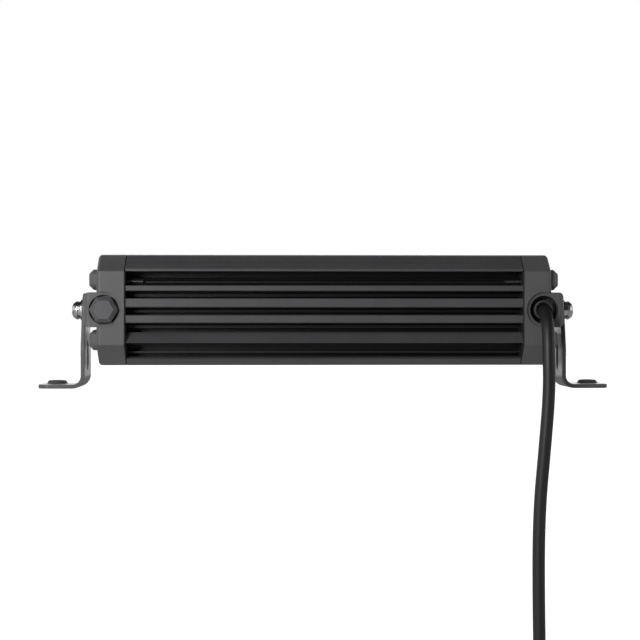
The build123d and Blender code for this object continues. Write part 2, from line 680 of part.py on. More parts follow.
def cap_blank():
    """The casting with its boss, pads, pocket and screw holes, but without its rear port."""
    body = along_bar(bar_outline(), CAP_INNER_X, CAP_OUTER_X)
    body = fillet(body.faces().sort_by(Axis.X)[-1].edges(), CAP_EDGE_R)
    cut_r = BOSS_R + BOSS_CUT_GAP
    cut_y = (REAR_Y - BOSS_RECESS, BOSS_REAR_Y)
    body -= block((PORT_X, CAP_OUTER_X + BOSS_REACH), cut_y, (-cut_r, cut_r))
    body -= rod_y(cut_r, PORT_X, cut_y[0], cut_y[1], 0)
    body += side_pad(1)
    body += side_pad(-1)
    body += pivot_boss()
    pocket_outer = CAP_OUTER_X - POCKET_WALL
    pocket = block((CAP_INNER_X, pocket_outer), POCKET_Y, (-POCKET_HALF_HEIGHT, POCKET_HALF_HEIGHT))
    pocket = fillet(pocket.edges().filter_by(Axis.X), CAP_EDGE_R)
    for y, z, _, _, _ in cap_screw_places():
        pocket -= rod_x(SCREW_HEAD_D / 2 + POST_WALL, CAP_INNER_X, pocket_outer, y, z)
    body -= pocket
    shank_r = CAP_SCREW_D / 2 + HEAD_GAP
    for y, z, sink, _, face_x in cap_screw_places():
        body -= rod_x(shank_r, CAP_INNER_X, face_x, y, z)
        body -= rod_x(SCREW_HEAD_D / 2 + HEAD_GAP, face_x - sink, face_x, y, z)
    thread_r = PIVOT_SCREW_D / 2 + THREAD_CLEARANCE
    body -= rod_x(thread_r, BOSS_OUTER_X - PIVOT_SCREW_BITE - PIVOT_BORE_EXTRA, BOSS_OUTER_X, 0, 0)
    body -= rod_y(DUCT_D / 2, DUCT_X, BOSS_REAR_Y + VENT_RECESS_DEPTH, POCKET_Y[0], 0)
    return body


def vent_cap():
    """The end cap that carries the vent plug."""
    seat_y = BOSS_REAR_Y + VENT_RECESS_DEPTH
    body = cap_blank()
    body -= rod_y(VENT_RECESS_D / 2, PORT_X, BOSS_REAR_Y - BOSS_RECESS, seat_y, 0)
    body -= rod_y(VENT_THREAD_D / 2 + THREAD_CLEARANCE, PORT_X, seat_y, seat_y + VENT_SHANK + WALL, 0)
    groove_r = O_RING_MEAN_R + O_RING_SECTION / 2 + THREAD_CLEARANCE
    body -= rod_y(groove_r, PORT_X, seat_y, seat_y + O_RING_SECTION + 2 * THREAD_CLEARANCE, 0)
    return body


def gland_cap():
    """The end cap that lets the cable out."""
    floor_y = BOSS_REAR_Y + GLAND_RECESS_DEPTH
    body = cap_blank()
    body -= rod_y(GLAND_RECESS_D / 2, PORT_X, BOSS_REAR_Y - BOSS_RECESS, floor_y, 0)
    body -= rod_y(GLAND_D / 2 + THREAD_CLEARANCE, PORT_X, floor_y, floor_y + GLAND_SEAT, 0)
    return body


def cap_gasket():
    face = bar_outline(GASKET_INSET)
    window = Rectangle(WINDOW_Y[1] - WINDOW_Y[0], 2 * WINDOW_HALF_HEIGHT)
    face -= Pos(sum(WINDOW_Y) / 2, 0) * window
    for y, z, _, _, _ in cap_screw_places():
        face -= Pos(y, z) * Circle(CAP_SCREW_D / 2 + HEAD_GAP)
    return along_bar(face, HALF_LENGTH, CAP_INNER_X)


def cap_screw(y, z, sink, bite, face_x):
    """A pan-head screw along X with a hexagon socket."""
    seat = face_x - sink
    shank = rod_x(CAP_SCREW_D / 2, HALF_LENGTH - bite, seat, y, z)
    head = rod_x(SCREW_HEAD_D / 2, seat, seat + SCREW_HEAD_H, y, z)
    head = fillet(head.edges().group_by(Axis.X)[-1], SCREW_HEAD_H / 2)
    drive = extrude(RegularPolygon(SCREW_SOCKET_R, 6), amount=SCREW_HEAD_H / 2, both=True)
    return shank + head - Pos(seat + SCREW_HEAD_H, y, z) * Rot(0, 90, 0) * drive


def cap_screws(rear):
    """The four long rear screws or the four short front ones."""
    chosen = cap_screw_places()[0::2] if rear else cap_screw_places()[1::2]
    right = [cap_screw(*place) for place in chosen]
    return group(right + [mirrored(screw) for screw in right])


# ---------------------------------------------------------------- vent plug and gland
def vent_plug():
    """Hexagon plug with a vent bore. It is drawn at the port of the +X end."""
    seat_y = BOSS_REAR_Y + VENT_RECESS_DEPTH
    corner_r = VENT_AF / math.sqrt(3)
    head = Pos(PORT_X, seat_y, 0) * Rot(90, 0, 0) * extrude(RegularPolygon(corner_r, 6), amount=VENT_HEAD)
    head = chamfer(head.faces().sort_by(Axis.Y)[0].edges(), VENT_CHAMFER)
    shank = rod_y(VENT_THREAD_D / 2, PORT_X, seat_y, seat_y + VENT_SHANK, 0)
    bore = rod_y(VENT_BORE_D / 2, PORT_X, seat_y - VENT_HEAD / 2, seat_y + VENT_SHANK, 0)
    cross = rod_x(VENT_BORE_D / 4, PORT_X - corner_r, PORT_X + corner_r, seat_y - VENT_HEAD / 5, 0)
    return head + shank - bore - cross


def vent_membrane():
    seat_y = BOSS_REAR_Y + VENT_RECESS_DEPTH
    return rod_y(VENT_BORE_D / 2, PORT_X, seat_y + WALL, seat_y + WALL + MEMBRANE_THICKNESS, 0)


def vent_o_ring():
    middle_y = BOSS_REAR_Y + VENT_RECESS_DEPTH + THREAD_CLEARANCE + O_RING_SECTION / 2
    return Pos(PORT_X, middle_y, 0) * Rot(90, 0, 0) * Torus(O_RING_MEAN_R, O_RING_SECTION / 2)


def gland_span():
    """First and last Y of the gland's sleeve."""
    return BOSS_REAR_Y + GLAND_BELOW_FACE, BOSS_REAR_Y + GLAND_RECESS_DEPTH + GLAND_SEAT


def cable_gland():
    first, last = gland_span()
    sleeve = rod_y(GLAND_D / 2, PORT_X, first, last, 0)
    sleeve -= rod_y(GLAND_BORE_D / 2, PORT_X, first, last, 0)
    mouth = sleeve.edges().filter_by(GeomType.CIRCLE).group_by(Axis.Y)[0]
    return fillet(mouth, GLAND_MOUTH_R)


def cable_seal():
    first, last = gland_span()
    first += GLAND_SEAL_INSET
    seal = rod_y(GLAND_BORE_D / 2, PORT_X, first, last, 0)
    return seal - rod_y(CABLE_D / 2 + BOOT_FIT, PORT_X, first, last, 0)


# ---------------------------------------------------------------- cable and connector
def cable_radii():
    """Each bend is as wide as its two runs allow."""
    points = [Vector(*point) for point in CABLE_POINTS]
    radii = []
    for before, corner, after in zip(points, points[1:], points[2:]):
        turn = math.radians((corner - before).get_angle(after - corner))
        shorter = min((corner - before).length, (after - corner).length)
        radii.append(BEND_SHARE * shorter / math.tan(turn / 2))
    return radii


def power_cable():
    radii = cable_radii()
    path = FilletPolyline(*CABLE_POINTS, radius=radii)
    tube = sweep(Plane(origin=path @ 0, z_dir=path % 0) * Circle(CABLE_D / 2), path=path)
    expected = math.pi * (CABLE_D / 2) ** 2 * path.length
    print("cable bend radii", [round(radius, 1) for radius in radii])
    print("cable length", round(path.length, 1), "volume ratio", round(tube.volume / expected, 4))
    return tube


def cable_end():
    """Where the cable ends, and the direction in which it arrives."""
    last = Vector(*CABLE_POINTS[-1])
    before = Vector(*CABLE_POINTS[-2])
    return Plane(origin=last, x_dir=(1, 0, 0), z_dir=before - last)


def cable_boot():
    small, large = [CABLE_D / 2 + wall for wall in BOOT_WALL]
    boot = Pos(0, 0, BOOT_LENGTH / 2) * Cone(large, small, BOOT_LENGTH)
    bore = Pos(0, 0, BOOT_LENGTH / 2) * Cylinder(CABLE_D / 2 + BOOT_FIT, BOOT_LENGTH)
    return cable_end() * (boot - bore)


def contact_bores(radius, low, high):
    """Two bars side by side below the end of the cable."""
    bars = [rod_z(radius, side * CONTACT_PITCH / 2, 0, low, high) for side in (1, -1)]
    return bars[0] + bars[1]


def connector_latch():
    """The spring tongue at the rear of the connector, and the bridge that holds it."""
    width, thickness, height = LATCH
    face_y = -CONNECTOR_BODY[1] / 2
    y = face_y - LATCH_LIFT - thickness / 2
    z = -CONNECTOR_BODY[2] - CONNECTOR_NOSE[2] / 2 + height / 2
    tongue = Pos(0, y, z) * Box(width, thickness, height)
    tongue = fillet(tongue.edges().filter_by(Axis.X), LATCH_EDGE_R)
    bridge_z = z + height / 2 - LATCH_BRIDGE
    bridge = block(
        (-width / 2, width / 2),
        (y, face_y + LATCH_ROOT),
        (bridge_z - LATCH_BRIDGE / 2, bridge_z + LATCH_BRIDGE / 2),
    )
    return tongue + bridge


def connector_body():
    width, depth, height = CONNECTOR_BODY
    body = Pos(0, 0, -height / 2) * Box(width, depth, height)
    body = fillet(body.edges().filter_by(Axis.Z), CONNECTOR_CORNER_R)
    nose_width, nose_depth, nose_height = CONNECTOR_NOSE
    nose = Pos(0, 0, -height - nose_height / 2) * Box(nose_width, nose_depth, nose_height)
    body += fillet(nose.edges().filter_by(Axis.Z), NOSE_CORNER_R)
    bottom = -height - nose_height
    lock_width, lock_depth, lock_height = LOCK
    room = Box(lock_width + GROOVE_CLEARANCE, lock_depth + GROOVE_CLEARANCE, lock_height)
    body -= Pos(0, 0, bottom + lock_height / 2) * room
    body -= contact_bores(CONTACT_D[0] / 2, bottom, bottom + lock_height + CONTACT_LENGTH)
    return cable_end() * (body + connector_latch())


def connector_seal():
    width, depth, _ = CONNECTOR_NOSE
    stand, height = CONNECTOR_SEAL
    ring = Box(width + 2 * stand, depth + 2 * stand, height)
    ring = fillet(ring.edges().filter_by(Axis.Z), SEAL_CORNER_R)
    hole = Box(width + GROOVE_CLEARANCE, depth + GROOVE_CLEARANCE, height)
    ring -= fillet(hole.edges().filter_by(Axis.Z), NOSE_CORNER_R)
    return cable_end() * Pos(0, 0, -CONNECTOR_BODY[2] - height / 2) * ring


def connector_lock():
    bottom = -CONNECTOR_BODY[2] - CONNECTOR_NOSE[2]
    lock = Pos(0, 0, bottom + LOCK[2] / 2) * Box(*LOCK)
    return cable_end() * (lock - contact_bores(CONTACT_D[1] / 2, bottom, bottom + LOCK[2]))


def connector_contacts():
    outside, bore = CONTACT_D
    low = -CONNECTOR_BODY[2] - CONNECTOR_NOSE[2] + LOCK[2]
    high = low + CONTACT_LENGTH
    tubes = []
    for side in (1, -1):
        x = side * CONTACT_PITCH / 2
        tube = rod_z(outside / 2 - THREAD_CLEARANCE, x, 0, low, high)
        tubes.append(tube - rod_z(bore / 2, x, 0, low, high - CONTACT_END))
    return group([cable_end() * tube for tube in tubes])


# ---------------------------------------------------------------- brackets and pivot hardware
def bracket_mask():
    """The leg's outline in Y and Z: a round head that flares to the full width."""
    half = BRACKET_WIDTH / 2
    below = -PIVOT_HEIGHT - PLATE
    face = outline([
        (-BRACKET_HEAD_R, 0),
        (BRACKET_HEAD_R, 0),
        (half, -FLARE_DROP),
        (half, below),
        (-half, below),
        (-half, -FLARE_DROP),
    ])
    for side in (1, -1):
        face = rounded(face, (side * half, -FLARE_DROP), FLARE_R)
    return along_bar(face + Circle(BRACKET_HEAD_R), PLATE_INNER_X - PLATE, FOOT_REACH + PLATE)


def obround(width, low, high):
    """An upright slot outline in Y and Z."""
    length = high - low - width
    face = Rectangle(width, length)
    for side in (1, -1):
        face += Pos(0, side * length / 2) * Circle(width / 2)
    return Pos(0, (low + high) / 2) * face


def bracket():
    """The bracket at the +X end: leg, bend and foot from one plate."""
    under = -PIVOT_HEIGHT
    face = outline([
        (PLATE_INNER_X, BRACKET_HEAD_R),
        (PLATE_OUTER_X, BRACKET_HEAD_R),
        (PLATE_OUTER_X, FOOT_TOP_Z),
        (FOOT_REACH, FOOT_TOP_Z),
        (FOOT_REACH, under),
        (PLATE_INNER_X, under),
    ])
    face = rounded(face, (PLATE_OUTER_X, FOOT_TOP_Z), BEND_R)
    face = rounded(face, (PLATE_INNER_X, under), BEND_R + PLATE)
    plate = extrude(Plane.XZ * face, amount=BRACKET_WIDTH / 2, both=True)
    corners = plate.edges().filter_by(Axis.Z).group_by(Axis.X)[-1]
    plate = fillet(corners, FOOT_CORNER)
    plate &= bracket_mask()
    bead_top, bead_bottom = BEAD_Z
    ridge = obround(BEAD_WIDTH - BEAD_DEPTH, bead_bottom + BEAD_DEPTH, bead_top - BEAD_DEPTH)
    hollow = obround(BEAD_WIDTH - 2 * BEAD_DEPTH, bead_bottom, bead_top)
    plate += along_bar(ridge, PLATE_OUTER_X - BEAD_DEPTH / 2, PLATE_OUTER_X + BEAD_DEPTH)
    plate -= along_bar(hollow, PLATE_INNER_X, PLATE_INNER_X + BEAD_DEPTH)
    collar = Cone(COLLAR_BASE_D / 2, COLLAR_TOP_D / 2, COLLAR_HEIGHT)
    plate += Pos(FOOT_HOLE_X, 0, FOOT_TOP_Z + COLLAR_HEIGHT / 2) * collar
    plate -= rod_x(PIVOT_SCREW_D / 2 + PIVOT_RUNNING_GAP, PLATE_INNER_X, PLATE_OUTER_X, 0, 0)
    plate -= rod_z(FOOT_HOLE_D / 2, FOOT_HOLE_X, 0, under, FOOT_TOP_Z + COLLAR_HEIGHT)
    return plate


def washer(width, thickness, x):
    bore_r = WASHER_BORE_D / 2
    return rod_x(bore_r + width, x, x + thickness, 0, 0) - rod_x(bore_r, x, x + thickness, 0, 0)


def both_ends(piece):
    return group([piece, mirrored(piece)])


def stack_x():
    """Where the plain washer, the spring washer and the screw's head start."""
    plain = PLATE_OUTER_X + BRACKET_GAP
    spring = plain + PLAIN_WASHER_THICKNESS + STACK_GAP
    head = spring + SPRING_WASHER_THICKNESS + STACK_GAP
    return plain, spring, head


def plain_washers():
    return both_ends(washer(PLAIN_WASHER_WIDTH, PLAIN_WASHER_THICKNESS, stack_x()[0]))


def spring_washers():
    """Split rings that keep the pivot screws tight."""
    x = stack_x()[1]
    thickness = SPRING_WASHER_THICKNESS
    ring = washer(SPRING_WASHER_WIDTH, thickness, x)
    outside = WASHER_BORE_D / 2 + SPRING_WASHER_WIDTH
    cut = Rot(0, 0, WASHER_SLIT_ANGLE) * Box(3 * thickness, WASHER_SLIT, outside)
    return both_ends(ring - Pos(x + thickness / 2, 0, outside) * cut)


def pivot_screws():
    """Button-head screws that clamp the brackets to the bosses."""
    x = stack_x()[2]
    shank = rod_x(PIVOT_SCREW_D / 2, BOSS_OUTER_X - PIVOT_SCREW_BITE, x, 0, 0)
    rim = (BUTTON_HEAD_D / 2, BUTTON_RIM_H)
    flat = (BUTTON_FLAT_R, BUTTON_HEAD_H)
    profile = make_face([
        Line((0, 0), (rim[0], 0)),
        Line((rim[0], 0), rim),
        ThreePointArc(rim, (BUTTON_DOME_R, BUTTON_DOME_H), flat),
        Line(flat, (0, BUTTON_HEAD_H)),
        Line((0, BUTTON_HEAD_H), (0, 0)),
    ])
    head = revolve(Plane.XZ * profile, axis=Axis.Z)
    hexagon = RegularPolygon(SOCKET_AF / math.sqrt(3), 6)
    head -= Pos(0, 0, BUTTON_HEAD_H - SOCKET_DEPTH) * extrude(hexagon, amount=SOCKET_DEPTH)
    return both_ends(shank + Pos(x, 0, 0) * Rot(0, 90, 0) * head)


# ---------------------------------------------------------------- the set of parts
def main():
    os.makedirs(PARTS, exist_ok=True)
    save("housing_extrusion", housing_extrusion())
    save("left_end_cap", mirrored(vent_cap()))
    save("right_end_cap", gland_cap())
    save("left_cap_gasket", mirrored(cap_gasket()))
    save("right_cap_gasket", cap_gasket())
    save("rear_cap_screws", cap_screws(rear=True))
    save("front_cap_screws", cap_screws(rear=False))
    save("lens", lens())
    save("lens_seals", lens_seals())
    save("reflector_tray", reflector_tray())
    save("upper_led_board", led_board(ROW_Z))
    save("lower_led_board", led_board(-ROW_Z))
    save("led_chips", led_chips())
    save("thermal_pads", thermal_pads())
    save("board_screws", board_screws())
    save("driver_board", driver_board())
    save("driver_inductors", driver_inductors())
    save("driver_capacitors", driver_capacitors())
    save("driver_chips", driver_chips())
    save("terminal_block", terminal_block())
    save("supply_wire_positive", supply_wire(1))
    save("supply_wire_negative", supply_wire(-1))
    save("vent_plug", mirrored(vent_plug()))
    save("vent_membrane", mirrored(vent_membrane()))
    save("vent_o_ring", mirrored(vent_o_ring()))
    save("cable_gland", cable_gland())
    save("cable_seal", cable_seal())
    save("power_cable", power_cable())
    save("cable_boot", cable_boot())
    save("connector_body", connector_body())
    save("connector_seal", connector_seal())
    save("connector_lock", connector_lock())
    save("connector_contacts", connector_contacts())
    save("right_bracket", bracket())
    save("left_bracket", mirrored(bracket()))
    save("pivot_screws", pivot_screws())
    save("spring_washers", spring_washers())
    save("plain_washers", plain_washers())


main()
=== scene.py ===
# %% [markdown]
# # A double-row light bar, seen from its finned back
#
# The bar is an aluminium extrusion with a cast cap at each end. Two steel brackets carry it on two pivot screws,
# and a short lead with a plug hangs out of one cap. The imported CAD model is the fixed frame: it says where every
# piece is and what it moves with. This script gives each piece its surface, and rebuilds the pieces whose small
# forms matter most: the screws, the reflectors, the lamps and the lead.

# %% Load the frame
import json
import math

import bmesh
import bpy
from mathutils import Matrix, Vector

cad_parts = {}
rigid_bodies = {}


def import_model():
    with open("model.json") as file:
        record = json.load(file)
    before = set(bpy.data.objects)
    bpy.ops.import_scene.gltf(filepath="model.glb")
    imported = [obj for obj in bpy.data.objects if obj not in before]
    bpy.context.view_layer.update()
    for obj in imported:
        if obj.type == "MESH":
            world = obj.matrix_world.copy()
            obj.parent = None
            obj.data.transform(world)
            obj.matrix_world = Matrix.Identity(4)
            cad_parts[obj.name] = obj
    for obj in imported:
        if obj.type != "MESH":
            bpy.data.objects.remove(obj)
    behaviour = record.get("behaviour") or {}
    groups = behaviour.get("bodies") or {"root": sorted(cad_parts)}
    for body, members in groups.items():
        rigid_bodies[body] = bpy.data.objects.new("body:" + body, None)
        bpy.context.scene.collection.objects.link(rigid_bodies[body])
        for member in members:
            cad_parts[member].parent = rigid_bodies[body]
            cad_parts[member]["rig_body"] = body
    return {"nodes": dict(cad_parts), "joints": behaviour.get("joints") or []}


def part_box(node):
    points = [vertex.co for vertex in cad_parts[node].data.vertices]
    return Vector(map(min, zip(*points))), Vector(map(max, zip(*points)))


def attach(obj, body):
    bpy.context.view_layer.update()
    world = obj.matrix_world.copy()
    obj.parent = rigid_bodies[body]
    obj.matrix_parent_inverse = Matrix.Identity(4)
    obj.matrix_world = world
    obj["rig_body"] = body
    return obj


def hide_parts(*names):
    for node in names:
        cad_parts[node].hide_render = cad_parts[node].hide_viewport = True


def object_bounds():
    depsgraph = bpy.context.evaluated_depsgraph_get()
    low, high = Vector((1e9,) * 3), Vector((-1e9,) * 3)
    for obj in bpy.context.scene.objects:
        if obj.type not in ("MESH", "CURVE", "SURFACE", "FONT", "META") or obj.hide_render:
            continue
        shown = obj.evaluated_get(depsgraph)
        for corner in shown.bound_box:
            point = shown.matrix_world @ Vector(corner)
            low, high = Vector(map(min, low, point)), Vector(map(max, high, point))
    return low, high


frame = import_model()
cad_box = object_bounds()
nodes = frame["nodes"]
print("nodes in the frame:", len(nodes))

# %% [markdown]
# ## Places that the frame gives
#
# The lamp tilts in its brackets about one axis. The height of that axis comes from the joint, and the axis of the
# lead's port comes from the rubber seal in it. The other places below are the CAD model's own sizes, in metres.

# %% Places
PIVOT = Vector(frame["joints"][0]["pos_m"])


def middle(node):
    low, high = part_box(node)
    return (low + high) / 2


PORT = middle("cable_seal")
print("pivot height", round(PIVOT.z, 4), "port at x", round(PORT.x, 4))

# %% [markdown]
# ## The camera
#
# A long lens keeps the bar's lines nearly parallel, as in a catalogue. The camera stands behind the bar, level with
# its middle, and a small turn shows that one end is a little nearer than the other.

# %% Camera
LENS_MM = 90.3
SENSOR_MM = 36.0
CLIP_START = 0.01
CAMERA_DISTANCE = 1.179
CAMERA_TURN = math.radians(1.7)
CAMERA_DROP = 0.0073
CAMERA_SIDE = 0.0026

view = Vector((math.sin(CAMERA_TURN), math.cos(CAMERA_TURN), 0))
across = Vector((view.y, -view.x, 0))
eye = PIVOT - CAMERA_DISTANCE * view - CAMERA_SIDE * across
eye.z -= CAMERA_DROP

camera_data = bpy.data.cameras.new("camera")
camera_data.lens = LENS_MM
camera_data.sensor_width = SENSOR_MM
camera_data.clip_start = CLIP_START
camera = bpy.data.objects.new("camera", camera_data)
camera.location = eye
camera.rotation_euler = (math.pi / 2, 0, -CAMERA_TURN)
bpy.context.scene.collection.objects.link(camera)
bpy.context.scene.camera = camera
print("camera at", [round(v, 3) for v in eye])

# %% [markdown]
# ## The power lead
#
# A two-core lead 9 mm thick is stiff: it leaves its seal straight, bends down at once under its own weight and
# then hangs with a slow wander. One smooth spline holds that shape. Its control points are in metres: X from the
# port, Y from the frame's origin and Z from the pivot. The spline cuts a little inside their corners, as a real
# lead does. The section is a unit circle, and the radius at each point scales it down to the lead's own radius.

# %% Power lead
CABLE_D = 0.009
ARC_STEPS = 12
SPAN_STEPS = 24
SPLINE_ORDER = 3
CABLE_ROUTE = (
    (0.0, -0.0175, 0.0),
    (0.0, -0.033, 0.0),
    (0.0003, -0.045, -0.0115),
    (0.0001, -0.0488, -0.0285),
    (0.0005, -0.049, -0.058),
    (-0.0025, -0.0475, -0.098),
    (-0.0061, -0.045, -0.142),
    (-0.0065, -0.0436, -0.199),
    (-0.0053, -0.043, -0.256),
)

lead_data = bpy.data.curves.new("power_lead", "CURVE")
lead_data.dimensions = "3D"
lead_data.bevel_depth = 1.0
lead_data.bevel_resolution = ARC_STEPS
lead_data.resolution_u = SPAN_STEPS
spline = lead_data.splines.new("NURBS")
spline.points.add(len(CABLE_ROUTE) - 1)
for point, (x, y, z) in zip(spline.points, CABLE_ROUTE):
    point.co = (PORT.x + x, y, PIVOT.z + z, 1)
    point.radius = CABLE_D / 2
spline.order_u = SPLINE_ORDER
spline.use_endpoint_u = True
spline.use_smooth = True
lead = bpy.data.objects.new("power_lead", lead_data)
bpy.context.scene.collection.objects.link(lead)
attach(lead, "lamp")
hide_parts("power_cable")
print("lead points:", len(spline.points))

# %% [markdown]
# ## How a finish is made
#
# No real surface is one flat colour. Each finish below starts from the same small recipe: two close colours mixed
# by a soft noise, a roughness that wanders a little, and a fine bump. All three read Object coordinates, so the
# pattern is fixed to the piece in metres and stays the same from every side. A value that is the same all over
# is set on the shader itself.

# %% Coordinates and noise
def new_finish(name):
    """A new material. Returns it with its node tree and its Principled shader."""
    material = bpy.data.materials.new(name)
    material.use_nodes = True
    tree = material.node_tree
    shader = tree.nodes["Principled BSDF"]
    return material, tree, shader


def object_space(tree, stretch=(1, 1, 1), centre=(0, 0, 0), turn=(0, 0, 0)):
    """Object coordinates, moved so that a centre is at zero and then stretched."""
    coordinate = tree.nodes.new("ShaderNodeTexCoord")
    mapping = tree.nodes.new("ShaderNodeMapping")
    mapping.inputs["Location"].default_value = [-c * s for c, s in zip(centre, stretch)]
    mapping.inputs["Rotation"].default_value = turn
    mapping.inputs["Scale"].default_value = stretch
    tree.links.new(coordinate.outputs["Object"], mapping.inputs["Vector"])
    return mapping.outputs["Vector"]


def noise(tree, vector, scale, detail=3.0, roughness=0.5):
    texture = tree.nodes.new("ShaderNodeTexNoise")
    texture.inputs["Scale"].default_value = scale
    texture.inputs["Detail"].default_value = detail
    texture.inputs["Roughness"].default_value = roughness
    tree.links.new(vector, texture.inputs["Vector"])
    return texture.outputs["Fac"]


print("pattern tools ready")

# %% [markdown]
# ## From a noise to a surface
#
# A noise serves in three ways: it is spread over a range of roughness, it mixes two colours, or it lifts the surface
# as bump. `plain_finish` joins the three into one recipe, and most finishes below are one call of it.

# %% The common recipe
def spread(tree, value, low, high, from_low=0.3, from_high=0.7):
    """Maps the middle of a noise on to a wanted range."""
    node = tree.nodes.new("ShaderNodeMapRange")
    for socket, number in zip(("From Min", "From Max", "To Min", "To Max"), (from_low, from_high, low, high)):
        node.inputs[socket].default_value = number
    tree.links.new(value, node.inputs["Value"])
    return node.outputs["Result"]


def between(tree, value, first, second):
    """A colour between two, by a value from 0 to 1."""
    node = tree.nodes.new("ShaderNodeMix")
    node.data_type = "RGBA"
    node.inputs[6].default_value = (*first, 1)
    node.inputs[7].default_value = (*second, 1)
    tree.links.new(value, node.inputs["Factor"])
    return node.outputs[2]


def bump(tree, height, distance, strength=1.0, under=None):
    node = tree.nodes.new("ShaderNodeBump")
    node.inputs["Distance"].default_value = distance
    node.inputs["Strength"].default_value = strength
    tree.links.new(height, node.inputs["Height"])
    if under is not None:
        tree.links.new(under, node.inputs["Normal"])
    return node.outputs["Normal"]


def plain_finish(name, dark, light, roughness, grain, depth, metallic=0.0, mottle=60.0, stretch=(1, 1, 1)):
    """The recipe: mottled colour, wandering roughness and a fine grain."""
    material, tree, shader = new_finish(name)
    space = object_space(tree, stretch)
    patches = noise(tree, space, mottle)
    specks = noise(tree, space, grain, detail=4.0)
    tree.links.new(between(tree, spread(tree, patches, 0, 1), dark, light), shader.inputs["Base Color"])
    tree.links.new(spread(tree, patches, roughness[0], roughness[1]), shader.inputs["Roughness"])
    tree.links.new(bump(tree, specks, depth), shader.inputs["Normal"])
    shader.inputs["Metallic"].default_value = metallic
    return material


print("recipe ready")

# %% [markdown]
# ## A mask between the fins
#
# A deep gap swallows more light than these few soft lamps show. A mask on Object coordinates will darken the
# housing's paint there. It is a help to the render, and real paint has no such shade.

# %% The mask between the fins
GAP_SHADE = (0.16, 0.16, 0.16)
GAP_Y = (-0.0245, -0.0195)
GAP_HALF_HEIGHT = (0.0335, 0.0350)


def math_result(tree, operation, *values):
    """The result of a Math node on one or two values."""
    node = tree.nodes.new("ShaderNodeMath")
    node.operation = operation
    for socket, value in zip(node.inputs, values):
        tree.links.new(value, socket)
    return node.outputs["Value"]


def gap_depth(tree):
    """1 deep between the fins and 0 on every outer face of the extrusion."""
    split = tree.nodes.new("ShaderNodeSeparateXYZ")
    tree.links.new(object_space(tree, centre=PIVOT), split.inputs["Vector"])
    deep = spread(tree, split.outputs["Y"], 0, 1, *GAP_Y)
    inside = spread(tree, math_result(tree, "ABSOLUTE", split.outputs["Z"]), 1, 0, *GAP_HALF_HEIGHT)
    return math_result(tree, "MULTIPLY", deep, inside)


def shaded(tree, colour, mask, shade):
    """A colour, multiplied by a shade where the mask is 1."""
    product = tree.nodes.new("ShaderNodeMix")
    product.data_type = "RGBA"
    product.blend_type = "MULTIPLY"
    product.inputs["Factor"].default_value = 1.0
    tree.links.new(colour, product.inputs[6])
    tree.links.new(between(tree, mask, (1, 1, 1), shade), product.inputs[7])
    return product.outputs[2]


print("gap mask from y", GAP_Y[0], "to", GAP_Y[1])

# %% [markdown]
# ## Black powder coat
#
# The housing, caps and brackets share one paint. The caps' copy of it is set lighter than the housing's, and the
# brackets' copy sits between the two. That difference is painted light: it stands in for light that the lamps don't
# give those parts. Baked powder is satin, with an orange-peel skin of a millimetre or two from crest to crest. On the
# extrusion, faint drawing lines run along the bar under the paint, so the noise there is stretched along X. The
# castings show a deeper skin than the extrusion, and the pressed steel a broader one with a little more gloss.

# %% Powder coats
PATCH_SCALE = 35.0
GRIT_FINER = 3.5
GRIT_SHALLOWER = 0.35
DRAWN_STRETCH = (1.5, 900.0, 900.0)
DRAWN_DEPTH = 0.000015


def powder_coat(name, dark, light, roughness, peel, peel_depth, drawn=False):
    """Satin paint with an orange peel, and with drawing lines and the gap mask on an extrusion."""
    material, tree, shader = new_finish(name)
    space = object_space(tree)
    patches = noise(tree, space, PATCH_SCALE)
    crests = noise(tree, space, peel, detail=2.0)
    grit = noise(tree, space, peel * GRIT_FINER, detail=2.0)
    normal = bump(tree, crests, peel_depth)
    normal = bump(tree, grit, peel_depth * GRIT_SHALLOWER, under=normal)
    colour = between(tree, spread(tree, patches, 0, 1), dark, light)
    if drawn:
        lines = noise(tree, object_space(tree, stretch=DRAWN_STRETCH), 1.0)
        normal = bump(tree, lines, DRAWN_DEPTH, under=normal)
        colour = shaded(tree, colour, gap_depth(tree), GAP_SHADE)
    tree.links.new(colour, shader.inputs["Base Color"])
    tree.links.new(spread(tree, grit, roughness[0], roughness[1]), shader.inputs["Roughness"])
    tree.links.new(normal, shader.inputs["Normal"])
    return material


# The caps' and brackets' colours are set lighter than the housing's. The paint is the same, so this lightening is
# painted light.
housing_paint = powder_coat(
    "housing_powder", (0.072, 0.0725, 0.076), (0.084, 0.0845, 0.088), (0.32, 0.42), 900.0, 0.00004, drawn=True)
cap_paint = powder_coat(
    "cap_powder", (0.098, 0.099, 0.102), (0.118, 0.119, 0.122), (0.38, 0.48), 750.0, 0.00006)
bracket_paint = powder_coat(
    "bracket_powder", (0.085, 0.086, 0.089), (0.105, 0.106, 0.110), (0.28, 0.38), 600.0, 0.00004)
print("powder coats:", housing_paint.name, cap_paint.name, bracket_paint.name)

# %% [markdown]
# ## Bright and blackened steel
#
# The pivot screws and washers are stainless, turned on a lathe: fine rings run round the axis of each. Rings about
# X come from a wave texture centred on the pivot. The cap screws are black oxide, a thin dark skin through which
# the steel still gleams.

# %% Steels
SMUDGE_SCALE = 300.0
SMUDGED = 0.86
RING_SCALE = 0.5


